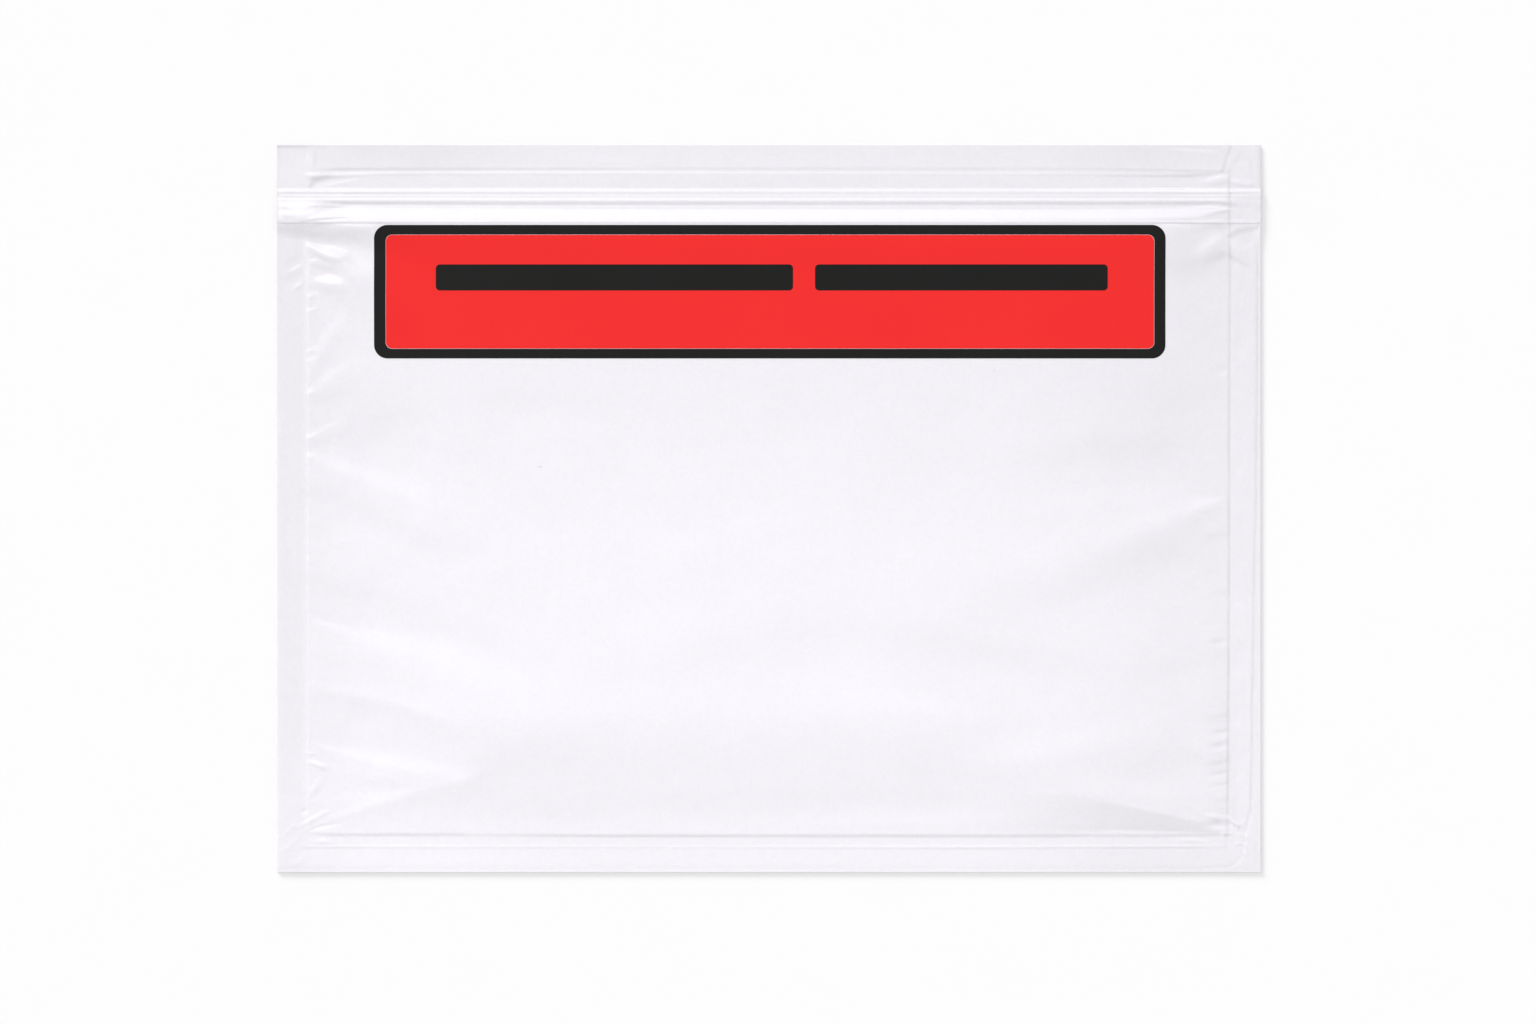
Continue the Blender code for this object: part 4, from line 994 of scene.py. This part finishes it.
# the front film lies up against the flap's free edge, and comes down from there
edge_v = FLAP_VS[-1]
flap_edge = sampler(FLAP_US, FLAP_VS, flap_low)(FRONT_US, np.full(len(FRONT_US), edge_v))
front_edge = sampler(FRONT_US, FRONT_ROWS, front_low)(FRONT_US, np.full(len(FRONT_US), edge_v))
lift = np.maximum(0.0, flap_edge - FILM_T - 0.014 - front_edge)
fall_over = knots(FRONT_US, ((277, 15), (300, 17), (360, 26), (430, 46), (1110, 60), (1180, 70), (1229, 56), (1260, 30)))
rise = smooth01((front_plan.V - 214.0) / 8.5) * (1.0 - smooth01((front_plan.V - edge_v) / fall_over[None, :]))
front_low = front_low + lift[None, :] * rise
print("front film raised at the flap's edge by mm", float(lift.min()), "to", float(lift.max()))

# the flap lies clear of the front film where it laps over it
front_top_at = sampler(FRONT_US, FRONT_VS, front_low[FRONT_KEPT] + FILM_T)
lapped = flap_plan.V >= LIP_V - 1.0
clear = front_top_at(flap_plan.U, np.maximum(flap_plan.V, LIP_V)) + 0.012
short = np.where(lapped, clear - flap_low, -1.0)
print("lap shortfall mm", float(short.max()), "flap top mm", float(flap_low.max() + FILM_T), "front top mm", float(front_low.max() + FILM_T))
flap_low = np.where(lapped, np.maximum(flap_low, clear), flap_low)

front = film_mesh("front_film_sheet", FRONT_US, FRONT_ROWS, front_low / 1000.0, FILM_T / 1000.0, FRONT_KEPT, (350.0, 1190.0))
front.data.materials.append(front_mat)
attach(front, "root")
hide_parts("front_film")

flap = film_mesh("closure_flap_sheet", FLAP_US, FLAP_VS, flap_low / 1000.0, FILM_T / 1000.0)
flap.data.materials.append(flap_mat)
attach(flap, "root")
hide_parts("closure_flap")

# --------------------------------------------------------------------------
# Print: thin fields of ink that follow the front film
# --------------------------------------------------------------------------

INK_GAP, INK_T = 0.008, 0.008


def rounded(u0, v0, u1, v1, radius, counts=(14, 84), steps=8):
    """Points round a rectangle with round corners. counts are the pieces of its short and long sides."""
    corners = [(u1 - radius, v0 + radius, -90), (u1 - radius, v1 - radius, 0), (u0 + radius, v1 - radius, 90), (u0 + radius, v0 + radius, 180)]
    points = []
    for k, (cu, cv, start) in enumerate(corners):
        for s in range(steps + 1):
            a = math.radians(start + 90.0 * s / steps)
            points.append((cu + radius * math.cos(a), cv + radius * math.sin(a)))
        nu, nv, nstart = corners[(k + 1) % 4]
        a = math.radians(nstart)
        end = (nu + radius * math.cos(a), nv + radius * math.sin(a))
        last = points[-1]
        count = counts[k % 2]
        points += [(last[0] + (end[0] - last[0]) * s / count, last[1] + (end[1] - last[1]) * s / count) for s in range(1, count)]
    return np.array(points)


def ink_solid(name, bm, mat):
    """Lays a flat patch of ink on the front film and gives it its thickness."""
    for v in bm.verts:
        z = float(front_top_at(v.co.x, v.co.y)) + INK_GAP
        v.co = (float(X(v.co.x)), float(Y(v.co.y)), z / 1000.0)
    bmesh.ops.recalc_face_normals(bm, faces=bm.faces)
    if sum(f.normal.z for f in bm.faces) < 0:
        bmesh.ops.reverse_faces(bm, faces=bm.faces)
    mesh = bpy.data.meshes.new(name)
    bm.to_mesh(mesh)
    bm.free()
    obj = bpy.data.objects.new(name, mesh)
    bpy.context.scene.collection.objects.link(obj)
    solid = obj.modifiers.new("thickness", "SOLIDIFY")
    solid.thickness = INK_T / 1000.0
    solid.offset = 1.0
    solid.use_even_offset = False
    settle(obj)
    obj.data.materials.append(mat)
    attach(obj, "root")
    return obj


def ring_patch(outer, inner, rings=4):
    """A band between two closed outlines of as many points each."""
    bm = bmesh.new()
    loops = []
    for k in range(rings + 1):
        t = k / rings
        loops.append([bm.verts.new((*(o * (1 - t) + i * t), 0.0)) for o, i in zip(outer, inner)])
    count = len(outer)
    for a, b in zip(loops[:-1], loops[1:]):
        for k in range(count):
            bm.faces.new((a[k], a[(k + 1) % count], b[(k + 1) % count], b[k]))
    return bm


def field_patch(u0, v0, u1, v1, radius, pitch_u=6.0, pitch_v=5.0):
    """A filled rectangle with round corners, on lines across it."""
    ease = [radius * (1.0 - math.cos(math.radians(90.0 * k / 7))) for k in range(8)]
    inner = spaced((v0 + radius, v1 - radius, pitch_v))
    rows = [v0 + radius - (radius - e) for e in ease][:-1] + list(inner) + [v1 - radius + (radius - e) for e in reversed(ease)][1:]
    columns = spaced((u0 + radius, u1 - radius, pitch_u))
    bm = bmesh.new()
    lines = []
    for v in rows:
        reach = max(0.0, v0 + radius - v, v - (v1 - radius))
        cut = radius - math.sqrt(max(0.0, radius * radius - reach * reach))
        line = [(u0 + cut, v)] + [(u, v) for u in columns] + [(u1 - cut, v)]
        lines.append([bm.verts.new((a, b, 0.0)) for a, b in line])
    for a, b in zip(lines[:-1], lines[1:]):
        for k in range(len(a) - 1):
            bm.faces.new((a[k], a[k + 1], b[k + 1], b[k]))
    bmesh.ops.remove_doubles(bm, verts=bm.verts, dist=1e-4)
    return bm


ring = ring_patch(rounded(374.2, 225.6, 1165.3, 358.8, 13.5), rounded(385.8, 235.2, 1154.2, 349.2, 6.6))
ink_solid("printed_frame", ring, black_mat)
ink_solid("printed_field", field_patch(386.1, 235.5, 1153.9, 348.9, 6.4), red_mat)

BAR_GAP = INK_GAP
INK_GAP = BAR_GAP + INK_T + 0.004
ink_solid("printed_bar_left", field_patch(436.0, 265.0, 793.0, 291.0, 4.0), black_mat)
ink_solid("printed_bar_right", field_patch(815.0, 265.0, 1107.5, 291.0, 4.0), black_mat)

# --------------------------------------------------------------------------
# Floor, light and camera
# --------------------------------------------------------------------------

floor_mat = Nodes("floor_paint")
grain = floor_mat.noise(floor_mat.scaled(1, 1, 1), 60.0, 3.0, 0.5)
floor_mat.join(floor_mat.mix(grain, (0.827, 0.825, 0.8315), (0.833, 0.831, 0.8375)), floor_mat.bsdf.inputs["Base Color"])
floor_mat.set(Roughness=0.9, Specular_IOR_Level=0.1)
bm = bmesh.new()
bmesh.ops.create_grid(bm, x_segments=8, y_segments=8, size=6.0)
floor_mesh = bpy.data.meshes.new("floor")
bm.to_mesh(floor_mesh)
bm.free()
floor = bpy.data.objects.new("floor", floor_mesh)
bpy.context.scene.collection.objects.link(floor)
floor.location = (0.0, 0.0, -0.00002)
floor_mesh.materials.append(floor_mat.mat)


def sun(name, azimuth, elevation, spread, strength, colour=(1, 1, 1)):
    """A round patch of sky that lights evenly. Azimuth 0 is +X and 90 is +Y; all in degrees."""
    data = bpy.data.lights.new(name, "SUN")
    data.energy = strength
    data.angle = math.radians(spread)
    data.color = colour
    obj = bpy.data.objects.new(name, data)
    a, e = math.radians(azimuth), math.radians(elevation)
    towards = Vector((math.cos(a) * math.cos(e), math.sin(a) * math.cos(e), math.sin(e)))
    obj.rotation_mode = "QUATERNION"
    obj.rotation_quaternion = towards.to_track_quat("Z", "Y")
    obj.location = towards * 2.0
    bpy.context.scene.collection.objects.link(obj)
    return obj


# share of the floor's white that each light gives
KEY, GLOSS, SKY_TOP, SKY_RIM = 0.22, 0.13, 0.92, 0.72
key = sun("key", 127.0, 13.3, 14.0, KEY * math.pi / math.sin(math.radians(13.3)))
key.visible_glossy = False  # soft light only: it shows in no reflection
sun("gloss_box", 130.0, 66.0, 26.0, GLOSS * math.pi / math.sin(math.radians(66.0)))

world = bpy.data.worlds.new("studio")
bpy.context.scene.world = world
world.use_nodes = True
wt = world.node_tree
back = wt.nodes["Background"]
direction = wt.nodes.new("ShaderNodeTexCoord")
split = wt.nodes.new("ShaderNodeSeparateXYZ")
ramp = wt.nodes.new("ShaderNodeMapRange")
ramp.interpolation_type = "SMOOTHSTEP"
for key, value in (("From Min", 0.25), ("From Max", 0.95), ("To Min", SKY_RIM), ("To Max", SKY_TOP)):
    ramp.inputs[key].default_value = value
wt.links.new(direction.outputs["Generated"], split.inputs[0])
wt.links.new(split.outputs["Z"], ramp.inputs["Value"])
wt.links.new(ramp.outputs["Result"], back.inputs["Strength"])
back.inputs["Color"].default_value = (1.0, 1.0, 1.0, 1.0)

scene = bpy.context.scene
scene.view_settings.view_transform = "Standard"
scene.view_settings.look = "None"
scene.view_settings.exposure = 0.0
scene.view_settings.gamma = 1.0
scene.cycles.transparent_max_bounces = 12
scene.cycles.max_bounces = 6
scene.cycles.diffuse_bounces = 3
scene.cycles.use_denoising = True

camera = bpy.data.cameras.new("camera")
camera.lens = 100.0
camera.sensor_width = 36.0
camera.sensor_fit = "HORIZONTAL"
camera.clip_start, camera.clip_end = 0.01, 20.0
camera_obj = bpy.data.objects.new("camera", camera)
scene.collection.objects.link(camera_obj)
wide = 1536.0 * MX
camera_obj.location = (float(X(768.0)), float(Y(512.0)), wide * 100.0 / 36.0 + 0.0003)
camera_obj.rotation_euler = (0.0, 0.0, 0.0)
scene.camera = camera_obj

bpy.context.view_layer.update()
